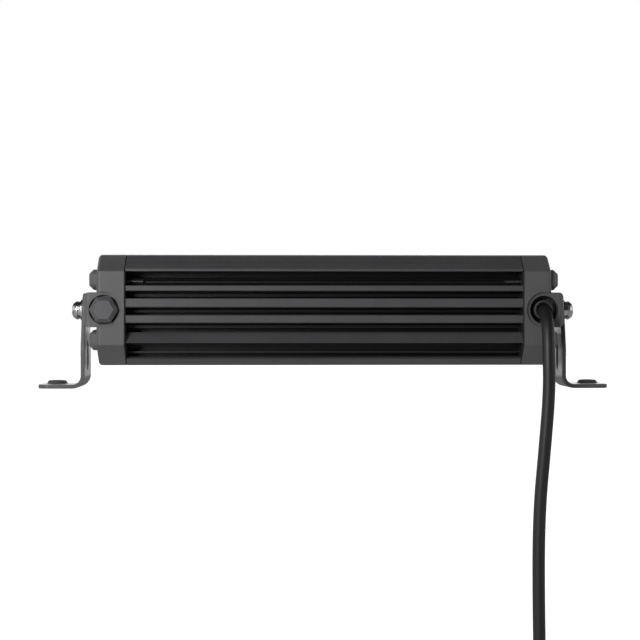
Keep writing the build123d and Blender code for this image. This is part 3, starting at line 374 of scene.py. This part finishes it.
def turned_steel(name, colour, roughness, ring_size, ring_depth):
    """Bright steel with turned rings, which come out about 0.6 of the ring size apart."""
    material, tree, shader = new_finish(name)
    space = object_space(tree, centre=PIVOT)
    rings = tree.nodes.new("ShaderNodeTexWave")
    rings.wave_type = "RINGS"
    rings.rings_direction = "X"
    rings.inputs["Scale"].default_value = RING_SCALE / ring_size
    rings.inputs["Distortion"].default_value = 0.6
    rings.inputs["Detail"].default_value = 1.0
    tree.links.new(space, rings.inputs["Vector"])
    smudge = noise(tree, space, SMUDGE_SCALE)
    dull = [c * SMUDGED for c in colour]
    tree.links.new(between(tree, spread(tree, smudge, 0, 1), dull, colour), shader.inputs["Base Color"])
    tree.links.new(spread(tree, smudge, roughness[0], roughness[1]), shader.inputs["Roughness"])
    tree.links.new(bump(tree, rings.outputs["Fac"], ring_depth), shader.inputs["Normal"])
    shader.inputs["Metallic"].default_value = 1.0
    return material


stainless = turned_steel("stainless_turned", (0.66, 0.66, 0.67), (0.16, 0.26), 0.00035, 0.000004)
black_oxide = plain_finish(
    "black_oxide", (0.22, 0.22, 0.23), (0.34, 0.34, 0.35), (0.32, 0.45), 2500.0, 0.00001, metallic=1.0, mottle=400.0)
print("steels:", stainless.name, black_oxide.name)

# %% [markdown]
# ## Rubbers and moulded plastics
#
# Mould makers spark the steel of a mould so that the nylon comes out with a fine matt grain. The cable's sheath is
# smoother, with a soft sheen and faint draw marks along it. Silicone seals are dull, and their colour varies more.

# %% Rubbers and plastics
sheath = plain_finish(
    "cable_sheath", (0.012, 0.012, 0.013), (0.019, 0.019, 0.021), (0.36, 0.46), 1600.0, 0.00002, stretch=(1, 1, 0.15))
seal_rubber = plain_finish(
    "seal_rubber", (0.010, 0.010, 0.011), (0.018, 0.018, 0.018), (0.65, 0.8), 1200.0, 0.00003, mottle=150.0)
plug_nylon = plain_finish(
    "plug_nylon", (0.085, 0.086, 0.09), (0.105, 0.106, 0.11), (0.44, 0.54), 1400.0, 0.00004, mottle=120.0)
gland_nylon = plain_finish(
    "gland_nylon", (0.035, 0.0355, 0.037), (0.046, 0.0465, 0.049), (0.4, 0.5), 1400.0, 0.00004, mottle=120.0)
connector_nylon = plain_finish(
    "connector_nylon", (0.10, 0.105, 0.11), (0.14, 0.145, 0.155), (0.42, 0.52), 1400.0, 0.00004, mottle=120.0)
seal_orange = plain_finish(
    "seal_orange", (0.48, 0.13, 0.02), (0.62, 0.20, 0.035), (0.5, 0.62), 900.0, 0.00003, mottle=250.0)
lock_orange = plain_finish(
    "lock_orange", (0.62, 0.22, 0.02), (0.72, 0.28, 0.03), (0.38, 0.48), 1400.0, 0.00003, mottle=150.0)
component_black = plain_finish(
    "component_black", (0.02, 0.02, 0.02), (0.04, 0.04, 0.042), (0.5, 0.65), 1800.0, 0.00003, mottle=300.0)
terminal_green = plain_finish(
    "terminal_green", (0.03, 0.24, 0.11), (0.05, 0.31, 0.15), (0.4, 0.5), 1400.0, 0.00003, mottle=200.0)
core_red = plain_finish("core_red", (0.38, 0.012, 0.012), (0.47, 0.02, 0.02), (0.4, 0.5), 1400.0, 0.00002)
core_black = plain_finish("core_black", (0.014, 0.014, 0.014), (0.024, 0.024, 0.024), (0.4, 0.5), 1400.0, 0.00002)
pad_grey = plain_finish("thermal_pad", (0.30, 0.32, 0.36), (0.38, 0.40, 0.44), (0.75, 0.9), 1500.0, 0.00005)
membrane = plain_finish("vent_film", (0.78, 0.78, 0.77), (0.88, 0.88, 0.87), (0.8, 0.9), 4000.0, 0.00003)
print("finishes so far:", len(bpy.data.materials))

# %% [markdown]
# ## Bright metals
#
# The reflectors are plastic with a film of aluminium, so they are mirrors with a trace of haze. Brass contacts and
# the capacitors' cans are rolled or drawn, with streaks along their length.

# %% Bright metals
chrome = plain_finish(
    "metallised", (0.80, 0.81, 0.82), (0.88, 0.89, 0.90), (0.05, 0.10), 500.0, 0.000004, metallic=1.0, mottle=90.0)
can_metal = plain_finish(
    "can_aluminium", (0.62, 0.63, 0.65), (0.72, 0.73, 0.75), (0.25, 0.38), 900.0, 0.00001, metallic=1.0,
    stretch=(1, 0.1, 1))
brass = plain_finish(
    "contact_brass", (0.66, 0.50, 0.22), (0.76, 0.60, 0.30), (0.2, 0.32), 1200.0, 0.00001, metallic=1.0,
    stretch=(1, 1, 0.1))
print("bright metals:", chrome.name, can_metal.name, brass.name)

# %% [markdown]
# ## Circuit boards
#
# A lamp board is an aluminium plate under white solder mask, and the tracks under the mask show as low ridges. One
# brick pattern gives both the colour and the height of tracks with narrow gaps between them. The driver board uses
# the same maker in green.

# %% Boards
TRACK_LENGTH = 0.0172
TRACK_WIDTH = 0.0043
TRACK_GAP = 0.0003
TRACK_HEIGHT = 0.00004
WEAVE_SCALE = 700.0
WEAVE_DEPTH = 0.00001


def board_finish(name, mask, track):
    material, tree, shader = new_finish(name)
    space = object_space(tree, centre=PIVOT, turn=(math.pi / 2, 0, 0))
    bricks = tree.nodes.new("ShaderNodeTexBrick")
    bricks.inputs["Color1"].default_value = (*track, 1)
    bricks.inputs["Color2"].default_value = (*track, 1)
    bricks.inputs["Mortar"].default_value = (*mask, 1)
    bricks.inputs["Scale"].default_value = 1.0
    bricks.inputs["Mortar Size"].default_value = TRACK_GAP
    bricks.inputs["Brick Width"].default_value = TRACK_LENGTH
    bricks.inputs["Row Height"].default_value = TRACK_WIDTH
    tree.links.new(space, bricks.inputs["Vector"])
    weave = noise(tree, object_space(tree), WEAVE_SCALE)
    tree.links.new(bricks.outputs["Color"], shader.inputs["Base Color"])
    tree.links.new(spread(tree, weave, 0.28, 0.4), shader.inputs["Roughness"])
    ridges = bump(tree, bricks.outputs["Fac"], TRACK_HEIGHT, strength=0.6)
    tree.links.new(bump(tree, weave, WEAVE_DEPTH, under=ridges), shader.inputs["Normal"])
    return material


board_white = board_finish("board_white", (0.74, 0.75, 0.72), (0.80, 0.81, 0.79))
board_green = board_finish("board_green", (0.010, 0.085, 0.035), (0.02, 0.15, 0.06))
print("boards:", board_white.name, board_green.name)

# %% [markdown]
# ## The clear lens and the lamps' finishes
#
# Polycarbonate bends light more than window glass does. Its hard coat has a faint waviness, which a very low bump
# gives, and the reflections on it are as sharp as on glass. Each lamp adds a silicone dome that bends light less, a
# yellow phosphor that is nearly matt and a white ceramic base.

# %% Clear plastics, phosphor and ceramic
HAZE_SCALE = 220.0
HAZE_LIGHTER = 1.03
RIPPLE_DEPTH = 0.000012


def clear_plastic(name, tint, ior, roughness, wave):
    material, tree, shader = new_finish(name)
    space = object_space(tree)
    ripple = noise(tree, space, wave, detail=1.0)
    haze = noise(tree, space, HAZE_SCALE)
    light = [min(1.0, c * HAZE_LIGHTER) for c in tint]
    tree.links.new(between(tree, spread(tree, haze, 0, 1), tint, light), shader.inputs["Base Color"])
    tree.links.new(spread(tree, haze, roughness[0], roughness[1]), shader.inputs["Roughness"])
    tree.links.new(bump(tree, ripple, RIPPLE_DEPTH), shader.inputs["Normal"])
    shader.inputs["IOR"].default_value = ior
    shader.inputs["Transmission Weight"].default_value = 1.0
    return material


lens_clear = clear_plastic("lens_polycarbonate", (0.93, 0.95, 0.95), 1.58, (0.0, 0.02), 60.0)
dome_clear = clear_plastic("lamp_dome", (0.95, 0.95, 0.93), 1.41, (0.0, 0.03), 300.0)
phosphor = plain_finish(
    "lamp_phosphor", (0.72, 0.52, 0.06), (0.85, 0.66, 0.12), (0.55, 0.7), 5000.0, 0.00002, mottle=2500.0)
ceramic = plain_finish("lamp_ceramic", (0.78, 0.78, 0.75), (0.86, 0.86, 0.84), (0.35, 0.5), 2500.0, 0.00001)
print("finishes so far:", len(bpy.data.materials))

# %% [markdown]
# ## Storing a piece
#
# `store_piece` turns a bmesh into an object that rides on its body, takes its material and may stand for a CAD node.
# `finish_piece` first turns every face outwards, which a lofted or spun shape needs and a CAD copy doesn't.

# %% Storing a piece
def finish_piece(bm, name, body, material, stands_for=(), smooth_angle=35):
    bmesh.ops.recalc_face_normals(bm, faces=bm.faces)
    return store_piece(bm, name, body, material, stands_for, smooth_angle)


def store_piece(bm, name, body, material, stands_for=(), smooth_angle=35):
    mesh = bpy.data.meshes.new(name)
    for face in bm.faces:
        face.smooth = True
    bm.to_mesh(mesh)
    bm.free()
    mesh.set_sharp_from_angle(angle=math.radians(smooth_angle))
    mesh.materials.append(material)
    piece = bpy.data.objects.new(name, mesh)
    bpy.context.scene.collection.objects.link(piece)
    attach(piece, body)
    if stands_for:
        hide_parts(*stands_for)
    return piece


print("storing ready")

# %% [markdown]
# ## Softening a CAD shape
#
# `softened_copy` is for pieces whose CAD shape is right but whose edges are too sharp to catch light: it welds a
# copy of the CAD mesh, dissolves the flat triangles and bevels every edge sharper than a limit. A painted edge is
# never sharper than about 0.3 mm, and that thin highlight is what makes metal look like metal.

# %% Softened copies
WELD = 0.000002
FLAT = math.radians(0.6)
SHARP = math.radians(38)


def softened_copy(node, name, body, material, width, segments=2):
    """A copy of a CAD node, on the same place, with its sharp edges bevelled."""
    bm = bmesh.new()
    bm.from_mesh(nodes[node].data)
    bmesh.ops.remove_doubles(bm, verts=bm.verts, dist=WELD)
    bmesh.ops.dissolve_limit(bm, angle_limit=FLAT, verts=bm.verts, edges=bm.edges)
    sharp = [e for e in bm.edges if len(e.link_faces) == 2 and e.calc_face_angle(0) > SHARP]
    bmesh.ops.bevel(
        bm, geom=sharp, offset=width, offset_type="OFFSET", segments=segments, profile=0.5,
        affect="EDGES", material=-1, clamp_overlap=True)
    piece = store_piece(bm, name, body, material, (node,), smooth_angle=30)
    weighted = piece.modifiers.new("even_shading", "WEIGHTED_NORMAL")
    weighted.keep_sharp = True
    return piece


print("edges sharper than", round(math.degrees(SHARP)), "degrees get a bevel")

# %% [markdown]
# ## Lofting through loops
#
# Turned and moulded shapes are stacks of loops. `ring` makes one with an operator, and `loft` skins a stack and
# closes its ends. The bridge operator pairs loops by its own guess and can twist them, so `skin` pairs vertices in
# order instead, which is safe because every loop starts on the same side.

# %% Lofts
def ring(bm, place, radius, height, sides=0, steps=48):
    """A loop of edges about Z at a height. With sides it is a polygon that the radius measures across flats."""
    verts = bmesh.ops.create_circle(bm, segments=steps, radius=radius)["verts"]
    for vert in verts:
        if sides:
            half = math.pi / sides
            angle = math.atan2(vert.co.y, vert.co.x) % (2 * half)
            vert.co *= 1 / math.cos(angle - half)
        vert.co.z = height
    bmesh.ops.transform(bm, verts=verts, matrix=place)
    return verts


def skin(bm, first, second):
    """Quads between two loops whose vertices run the same way from the same side."""
    for i in range(len(first)):
        j = (i + 1) % len(first)
        bm.faces.new((first[i], first[j], second[j], second[i]))


def loft(bm, place, rings, steps=48):
    """A closed solid through a stack of loops, each given as (radius, height) or (radius, height, sides)."""
    loops = [ring(bm, place, r[0], r[1], *r[2:], steps=steps) for r in rings]
    for first, second in zip(loops, loops[1:]):
        skin(bm, first, second)
    bm.faces.new(loops[0])
    bm.faces.new(loops[-1])


def aimed(place, axis):
    """A matrix that stands Z along an axis at a place."""
    return Matrix.Translation(place) @ Vector(axis).to_track_quat("Z", "Y").to_matrix().to_4x4()


print("lofts ready")

# %% [markdown]
# ## The housing, caps and brackets
#
# These keep their CAD shape. The extrusion's edges are broken by 0.25 mm, which is what a die leaves, the castings'
# by 0.3 mm, and the brackets' by 0.4 mm, which is what tumbling leaves on a pressed plate.

# %% Housing, caps and brackets
housing = softened_copy("housing_extrusion", "housing", "lamp", housing_paint, 0.00025)
for node in ("left_end_cap", "right_end_cap"):
    softened_copy(node, node + "_cast", "lamp", cap_paint, 0.0003)
for node in ("left_bracket", "right_bracket"):
    softened_copy(node, node + "_plate", "brackets", bracket_paint, 0.0004, segments=3)
print("housing triangles:", sum(len(p.vertices) - 2 for p in housing.data.polygons))

# %% [markdown]
# ## The rear cap screws
#
# A slot in each upper screw channel bares the thread of its screw, so the thread has to be real. One tooth, a flat
# V outline, is spun about the screw while it moves one pitch along per turn, and the turns are welded into one
# helix. The pan head is lofted through loops: round ones for the pan, then hexagons for the socket.

# %% Rear cap screws
THREAD_PITCH = 0.0007
THREAD_LENGTH = 0.0154
THREAD_DEPTH = 0.00043
SCREW_R = 0.002
SCREW_TIP_X = 0.1305
SCREW_SEAT_X = 0.1642
SCREW_Y = -0.017
SCREW_Z = 0.0204
TURN_STEPS = 24
CREST = (0.42, 0.58)
THREAD_WELD = 0.00001
RUNOUT_R = SCREW_R * 0.8
RUNOUT = 0.0004
PAN = ((0.004, 0), (0.004, 0.0013), (0.0038, 0.0019), (0.0033, 0.0024), (0.0027, 0.0026), (0.0022, 0.0026))
PAN_SOCKET = ((0.00133, 0.0026, 6), (0.00128, 0.0025, 6), (0.00128, 0.0013, 6))
SCREW_PLACES = [(side, PIVOT.z + row * SCREW_Z) for side in (-1, 1) for row in (-1, 1)]


def threaded(bm, tip, direction, radius, length):
    """A helix from a tip along a direction of X."""
    start = Vector(tip)
    root = radius - THREAD_DEPTH
    outline = ((root, 0), (radius, CREST[0]), (radius, CREST[1]), (root, 1))
    verts = [bm.verts.new(start + Vector((direction * THREAD_PITCH * x, 0, r))) for r, x in outline]
    edges = [bm.edges.new(pair) for pair in zip(verts, verts[1:])]
    turns = round(length / THREAD_PITCH)
    bmesh.ops.spin(
        bm, geom=verts + edges, cent=start, axis=(1, 0, 0), dvec=(direction * THREAD_PITCH / TURN_STEPS, 0, 0),
        angle=2 * math.pi * turns, steps=TURN_STEPS * turns, use_merge=False, use_duplicate=False)


bm = bmesh.new()
for side, z in SCREW_PLACES:
    threaded(bm, (side * SCREW_TIP_X, SCREW_Y, z), side, SCREW_R, THREAD_LENGTH)
bmesh.ops.remove_doubles(bm, verts=bm.verts, dist=THREAD_WELD)
rims = [e for e in bm.edges if e.is_boundary]
bmesh.ops.holes_fill(bm, edges=rims, sides=0)
plain_start = SCREW_TIP_X + THREAD_LENGTH
plain_run = SCREW_SEAT_X - plain_start
for side, z in SCREW_PLACES:
    shank = aimed((side * plain_start, SCREW_Y, z), (side, 0, 0))
    loft(bm, shank, ((RUNOUT_R, 0.0), (SCREW_R, RUNOUT), (SCREW_R, plain_run)), steps=TURN_STEPS)
    head = aimed((side * SCREW_SEAT_X, SCREW_Y, z), (side, 0, 0))
    loft(bm, head, PAN + PAN_SOCKET)
rear_screws = finish_piece(
    bm, "rear_cap_screws_threaded", "lamp", black_oxide, ("rear_cap_screws",))
print("rear screws, faces:", len(rear_screws.data.polygons))

# %% [markdown]
# ## The pivot screws and washers
#
# A button head is pressed cold, so its dome runs smoothly into a thin upright rim. The socket is cut deep, and its
# edge is broken by a small chamfer. The washers keep their CAD shape: the spring washer is split, and its two ends
# catch the light.

# %% Pivot screws and washers
DOME = ((0.0066, 0), (0.007, 0.0003), (0.007, 0.0008), (0.0067, 0.0016), (0.0058, 0.003), (0.0048, 0.0039),
        (0.0038, 0.0043), (0.0032, 0.0044))
SOCKET = ((0.0027, 0.0044, 6), (0.0025, 0.0042, 6), (0.0025, 0.0016, 6))
HEAD_HEIGHT = DOME[-1][1]
STACK_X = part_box("pivot_screws")[1].x - HEAD_HEIGHT
SHANK_END_X = 0.1603
SHANK_R = 0.004
SHANK_SUNK = 0.0002
TIP_R = 0.0034
TIP_CHAMFER = 0.0008
SHANK_STEPS = 32
PIVOT_BODY = nodes["pivot_screws"]["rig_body"]

bm = bmesh.new()
for side in (-1, 1):
    seat = aimed((side * STACK_X, 0, PIVOT.z), (side, 0, 0))
    loft(bm, seat, DOME + SOCKET)
    run = STACK_X - SHANK_END_X
    loft(bm, seat, ((SHANK_R, SHANK_SUNK), (SHANK_R, -run + TIP_CHAMFER), (TIP_R, -run)), steps=SHANK_STEPS)
pivot_heads = finish_piece(bm, "pivot_button_screws", PIVOT_BODY, stainless, ("pivot_screws",))
for node in ("spring_washers", "plain_washers"):
    softened_copy(node, node + "_tumbled", PIVOT_BODY, stainless, 0.00018)
print("pivot screws, faces:", len(pivot_heads.data.polygons))

# %% [markdown]
# ## Plug, gland, front screws and lens
#
# The vent plug is moulded nylon: a hexagon with a wide chamfer, so its end face is a smaller hexagon. Its edges and
# those of the gland and the lens are broken as little as a mould tool leaves them, and the front screws' still less.

# %% Plug, gland, front screws and lens
MOULDED = (
    ("vent_plug", "plug_black", plug_nylon, 0.00025),
    ("cable_gland", "plug_black", gland_nylon, 0.0002),
    ("front_cap_screws", "screw_black", black_oxide, 0.00015),
    ("lens", "lens_clear", lens_clear, 0.0002),
)
for node, slot, material, edge in MOULDED:
    softened_copy(node, node + "_moulded", "lamp", material, edge)
print("moulded pieces:", len(MOULDED))

# %% [markdown]
# ## The reflector tray
#
# One moulded plate carries sixteen cups. A cup is a parabola turned about its own axis, open at the throat for its
# lamp. The edge of a cup's cell is a loop like the round ones, with one vertex on the ray of each of theirs, so that
# all loops pair up.

# %% The cup's curve and its loops
PITCH = 0.0344
ROW_Z = 0.0172
COLUMNS = 8
CUP_STEPS = 64
CUP_RINGS = 10
MOUTH_R = 0.0158
THROAT_R = 0.0032
CUP_DEPTH = 0.023
CUP_WALL = 0.0012
TRAY_PLATE = 0.0018
LIP = ((0.0006, 0), (0.0002, 0.00012), (0, 0.0004))
WALL_START = 0.0004
TRAY_WELD = 0.00002
PARALLEL = 1e-6
tray_low, tray_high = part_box("reflector_tray")
FOCUS = (MOUTH_R ** 2 - THROAT_R ** 2) / (4 * CUP_DEPTH)
ANGLES = [2 * math.pi * step / CUP_STEPS for step in range(CUP_STEPS)]


def parabola(depth, wall):
    """The radius at a depth above the throat, with the wall's thickness added."""
    return math.sqrt(THROAT_R ** 2 + 4 * FOCUS * depth) + wall


def cup_loop(bm, centre, radius, y):
    return [bm.verts.new((centre[0] + radius * math.cos(a), y, centre[1] + radius * math.sin(a))) for a in ANGLES]


def cell_rectangle(bm, x_span, z_span, centre, y):
    """The cell's edge, with one vertex on the ray of each vertex of the round loops."""
    verts = []
    for angle in ANGLES:
        ray = (math.cos(angle), math.sin(angle))
        reaches = []
        for part, span, middle_of_cup in zip(ray, (x_span, z_span), centre):
            if abs(part) > PARALLEL:
                reaches.append(((span[1] if part > 0 else span[0]) - middle_of_cup) / part)
        reach = min(reaches)
        verts.append(bm.verts.new((centre[0] + ray[0] * reach, y, centre[1] + ray[1] * reach)))
    for x in x_span:
        for z in z_span:
            nearest = min(verts, key=lambda v: (v.co.x - x) ** 2 + (v.co.z - z) ** 2)
            nearest.co.x, nearest.co.z = x, z
    return verts


print("cup focus", round(FOCUS, 5), "above its vertex")

# %% [markdown]
# ## One cell of the tray
#
# A cell is one long loft. It starts at the cell's rectangle, rounds over into the mouth, follows the parabola down
# to the throat and comes back outside with a wall 1.2 mm thick.

# %% One cell of the tray
def cup_cell(bm, x_span, z_span, centre):
    """From the front rectangle over the lip, down the cup, up its outside and out to the rear rectangle."""
    front, back = tray_high.y, tray_high.y - TRAY_PLATE
    steps = [(1 - i / CUP_RINGS) ** 2 for i in range(CUP_RINGS + 1)]
    inner = [(parabola(CUP_DEPTH * t, 0), front - CUP_DEPTH * (1 - t)) for t in steps[1:]]
    outer = [(parabola(CUP_DEPTH * t, CUP_WALL), front - CUP_DEPTH * (1 - t)) for t in reversed(steps)]
    outer = [(radius, y) for radius, y in outer if y < back - WALL_START]
    lip = [(MOUTH_R + wider, front - deeper) for wider, deeper in LIP]
    rear = [(MOUTH_R + CUP_WALL, back)]
    loops = [cell_rectangle(bm, x_span, z_span, centre, front)]
    loops += [cup_loop(bm, centre, radius, y) for radius, y in lip + inner + outer + rear]
    loops.append(cell_rectangle(bm, x_span, z_span, centre, back))
    for first, second in zip(loops, loops[1:]):
        skin(bm, first, second)


print("cell depth", CUP_DEPTH, "wall", CUP_WALL)

# %% [markdown]
# ## Sixteen cells in one skin
#
# The cells meet at their rectangles, so one weld joins them. What stays open is the plate's outer rim, front and
# back. Each front edge of the rim finds the vertices straight behind its own, and one quad closes the gap.

# %% Reflector tray
bm = bmesh.new()
columns = [(i - (COLUMNS - 1) / 2) * PITCH for i in range(COLUMNS)]
for x in columns:
    x_low = tray_low.x if x == columns[0] else x - PITCH / 2
    x_high = tray_high.x if x == columns[-1] else x + PITCH / 2
    for row in (-1, 1):
        z_edges = sorted((PIVOT.z, tray_high.z if row > 0 else tray_low.z))
        cup_cell(bm, (x_low, x_high), z_edges, (x, PIVOT.z + row * ROW_Z))
bmesh.ops.remove_doubles(bm, verts=bm.verts, dist=TRAY_WELD)
rim = [e for e in bm.edges if e.is_boundary]
plate_middle = tray_high.y - TRAY_PLATE / 2
behind = {}
for vert in {v for e in rim for v in e.verts if v.co.y < plate_middle}:
    behind[round(vert.co.x, 5), round(vert.co.z, 5)] = vert
for first, second in [e.verts for e in rim if e.verts[0].co.y > plate_middle]:
    below = [behind[round(v.co.x, 5), round(v.co.z, 5)] for v in (second, first)]
    bm.faces.new((first, second, *below))
tray = finish_piece(
    bm, "reflector_tray_spun", "lamp", chrome, ("reflector_tray",), smooth_angle=50)
print("tray faces:", len(tray.data.polygons), "rim edges closed:", len(rim))

# %% [markdown]
# ## The lamps
#
# Each lamp is a white ceramic base with a square of yellow phosphor on it, under a clear silicone dome. The three
# are separate pieces, because each is a different substance.

# %% Lamps
BOARD_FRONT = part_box("upper_led_board")[1].y
BASE_HALF = 0.00175
BASE_HEIGHT = 0.0008
BASE_CHAMFER = 0.00012
PHOSPHOR_HALF = 0.0011
PHOSPHOR_EDGE = 0.00015
PHOSPHOR_TOP = 0.0002
PHOSPHOR_TAPER = 0.95
DOME_R = 0.0015
DOME_RISE = [i * math.pi / 16 for i in range(8)]
BASE_RINGS = (
    (BASE_HALF, 0, 4), (BASE_HALF, BASE_HEIGHT - BASE_CHAMFER, 4), (BASE_HALF - BASE_CHAMFER, BASE_HEIGHT, 4))
PHOSPHOR_RINGS = (
    (PHOSPHOR_HALF, 0, 4), (PHOSPHOR_HALF, PHOSPHOR_EDGE, 4), (PHOSPHOR_HALF * PHOSPHOR_TAPER, PHOSPHOR_TOP, 4))
DOME_RINGS = [(DOME_R * math.cos(a), DOME_R * math.sin(a)) for a in DOME_RISE]
lamp_places = [(x, PIVOT.z + row * ROW_Z) for x in columns for row in (-1, 1)]


def on_each_lamp(name, lift, rings, steps, material, stands_for=()):
    """One piece with the same loft at every lamp, lifted off the board's front."""
    bm = bmesh.new()
    for x, z in lamp_places:
        loft(bm, aimed((x, BOARD_FRONT + lift, z), (0, 1, 0)), rings, steps=steps)
    return finish_piece(bm, name, "lamp", material, stands_for)


on_each_lamp("lamp_bases", 0, BASE_RINGS, 16, ceramic, ("led_chips",))
on_each_lamp("lamp_phosphors", BASE_HEIGHT, PHOSPHOR_RINGS, 16, phosphor)
on_each_lamp("lamp_domes", BASE_HEIGHT, DOME_RINGS, 24, dome_clear)
print("lamps:", len(lamp_places))

# %% [markdown]
# ## Finishes on the pieces that keep their CAD mesh
#
# A CAD node whose shape is already right is never moved or changed. It only gets its material.

# %% Materials on CAD nodes
KEPT = {
    "left_cap_gasket": seal_rubber,
    "right_cap_gasket": seal_rubber,
    "lens_seals": seal_rubber,
    "upper_led_board": board_white,
    "lower_led_board": board_white,
    "thermal_pads": pad_grey,
    "board_screws": stainless,
    "driver_board": board_green,
    "driver_inductors": component_black,
    "driver_capacitors": can_metal,
    "driver_chips": component_black,
    "terminal_block": terminal_green,
    "supply_wire_positive": core_red,
    "supply_wire_negative": core_black,
    "vent_membrane": membrane,
    "vent_o_ring": seal_rubber,
    "cable_seal": seal_rubber,
    "cable_boot": sheath,
    "connector_body": connector_nylon,
    "connector_seal": seal_orange,
    "connector_lock": lock_orange,
    "connector_contacts": brass,
}
for node, material in KEPT.items():
    nodes[node].data.materials.clear()
    nodes[node].data.materials.append(material)
lead.data.materials.append(sheath)
print("nodes with a finish:", len(KEPT))

# %% [markdown]
# ## The floor
#
# A plain pale floor lies just under the plug of the lead. It is a light table: the camera sees it glow as white as
# the backdrop, so no horizon shows, and the bar gets only a little of that glow from below.

# %% Floor
FLOOR_HALF = 12.0
FLOOR_DROP = 0.012
FLOOR_GLOW = (0.12, 1.0)
floor_z = cad_box[0][2] - FLOOR_DROP
bm = bmesh.new()
bmesh.ops.create_grid(bm, x_segments=1, y_segments=1, size=FLOOR_HALF)
bmesh.ops.translate(bm, verts=bm.verts, vec=(0, 0, floor_z))
floor_mesh = bpy.data.meshes.new("floor")
bm.to_mesh(floor_mesh)
bm.free()
floor = bpy.data.objects.new("floor", floor_mesh)
bpy.context.scene.collection.objects.link(floor)
light_table = plain_finish(
    "light_table", (0.50, 0.50, 0.50), (0.52, 0.52, 0.52), (0.85, 0.95), 200.0, 0.00002, mottle=2.0)
table_shader = light_table.node_tree.nodes["Principled BSDF"]
table_shader.inputs["Emission Color"].default_value = (1, 1, 1, 1)
glow = light_table.node_tree.nodes.new("ShaderNodeLightPath").outputs["Is Camera Ray"]
glow = spread(light_table.node_tree, glow, *FLOOR_GLOW, from_low=0, from_high=1)
light_table.node_tree.links.new(glow, table_shader.inputs["Emission Strength"])
floor_mesh.materials.append(light_table)
print("floor at z", round(floor_z, 3))

# %% [markdown]
# ## The studio's walls
#
# The world stands in for walls of white cloth, one beyond the bar and one past each end, each brightest at its
# middle. They light the edges of the bar. The camera itself sees a plain white backdrop instead, so the walls never
# show behind the bar.

# %% Studio walls
BEYOND_STRENGTH = (0.02, 2.2)
BEYOND_FROM = (0.62, 0.95)
ENDS_STRENGTH = (0.0, 1.1)
ENDS_FROM = (0.8, 0.95)
BACKDROP_STRENGTH = 1.0

world = bpy.data.worlds.new("studio")
bpy.context.scene.world = world
world.use_nodes = True
sky = world.node_tree
walls = sky.nodes["Background"]
direction = sky.nodes.new("ShaderNodeTexCoord")
split = sky.nodes.new("ShaderNodeSeparateXYZ")
sky.links.new(direction.outputs["Generated"], split.inputs["Vector"])
beyond = spread(sky, split.outputs["Y"], *BEYOND_STRENGTH, *BEYOND_FROM)
ends = spread(sky, math_result(sky, "ABSOLUTE", split.outputs["X"]), *ENDS_STRENGTH, *ENDS_FROM)
sky.links.new(math_result(sky, "MAXIMUM", beyond, ends), walls.inputs["Strength"])
backdrop = sky.nodes.new("ShaderNodeBackground")
backdrop.inputs["Strength"].default_value = BACKDROP_STRENGTH
seen = sky.nodes.new("ShaderNodeLightPath")
choose = sky.nodes.new("ShaderNodeMixShader")
sky.links.new(seen.outputs["Is Camera Ray"], choose.inputs["Fac"])
sky.links.new(walls.outputs["Background"], choose.inputs[1])
sky.links.new(backdrop.outputs["Background"], choose.inputs[2])
sky.links.new(choose.outputs["Shader"], sky.nodes["World Output"].inputs["Surface"])
for shade in (walls, backdrop):
    shade.inputs["Color"].default_value = (1, 1, 1, 1)
print("walls beyond the bar and past its ends, backdrop", BACKDROP_STRENGTH)

# %% [markdown]
# ## Softboxes
#
# The main softbox stands to the left of the camera and a little above the bar. A second one, higher up, fills it in,
# and a faint one overhead lifts the upper facet. The Standard view leaves the tones as the lamps give them.

# %% Softboxes
SOFTBOX_WIDTH = 0.55
SOFTBOX_HEIGHT = 0.4
SOFTBOXES = (
    ("softbox_left", (-0.74, -1.29, 0.27), 9.4),
    ("softbox_high", (-0.65, -1.13, 0.8), 4.0),
    ("softbox_top", (0.0, -0.86, 1.29), 0.4),
)


def softbox(name, place, power):
    data = bpy.data.lights.new(name, "AREA")
    data.shape = "RECTANGLE"
    data.size = SOFTBOX_WIDTH
    data.size_y = SOFTBOX_HEIGHT
    data.energy = power
    box_light = bpy.data.objects.new(name, data)
    box_light.location = place
    box_light.rotation_euler = (PIVOT - Vector(place)).to_track_quat("-Z", "Y").to_euler()
    bpy.context.scene.collection.objects.link(box_light)


for name, place, power in SOFTBOXES:
    softbox(name, place, power)
bpy.context.scene.view_settings.view_transform = "Standard"
print("softboxes:", len(SOFTBOXES))

# %% [markdown]
# ## Closing
# compared.

# %% The end
print("scene built")
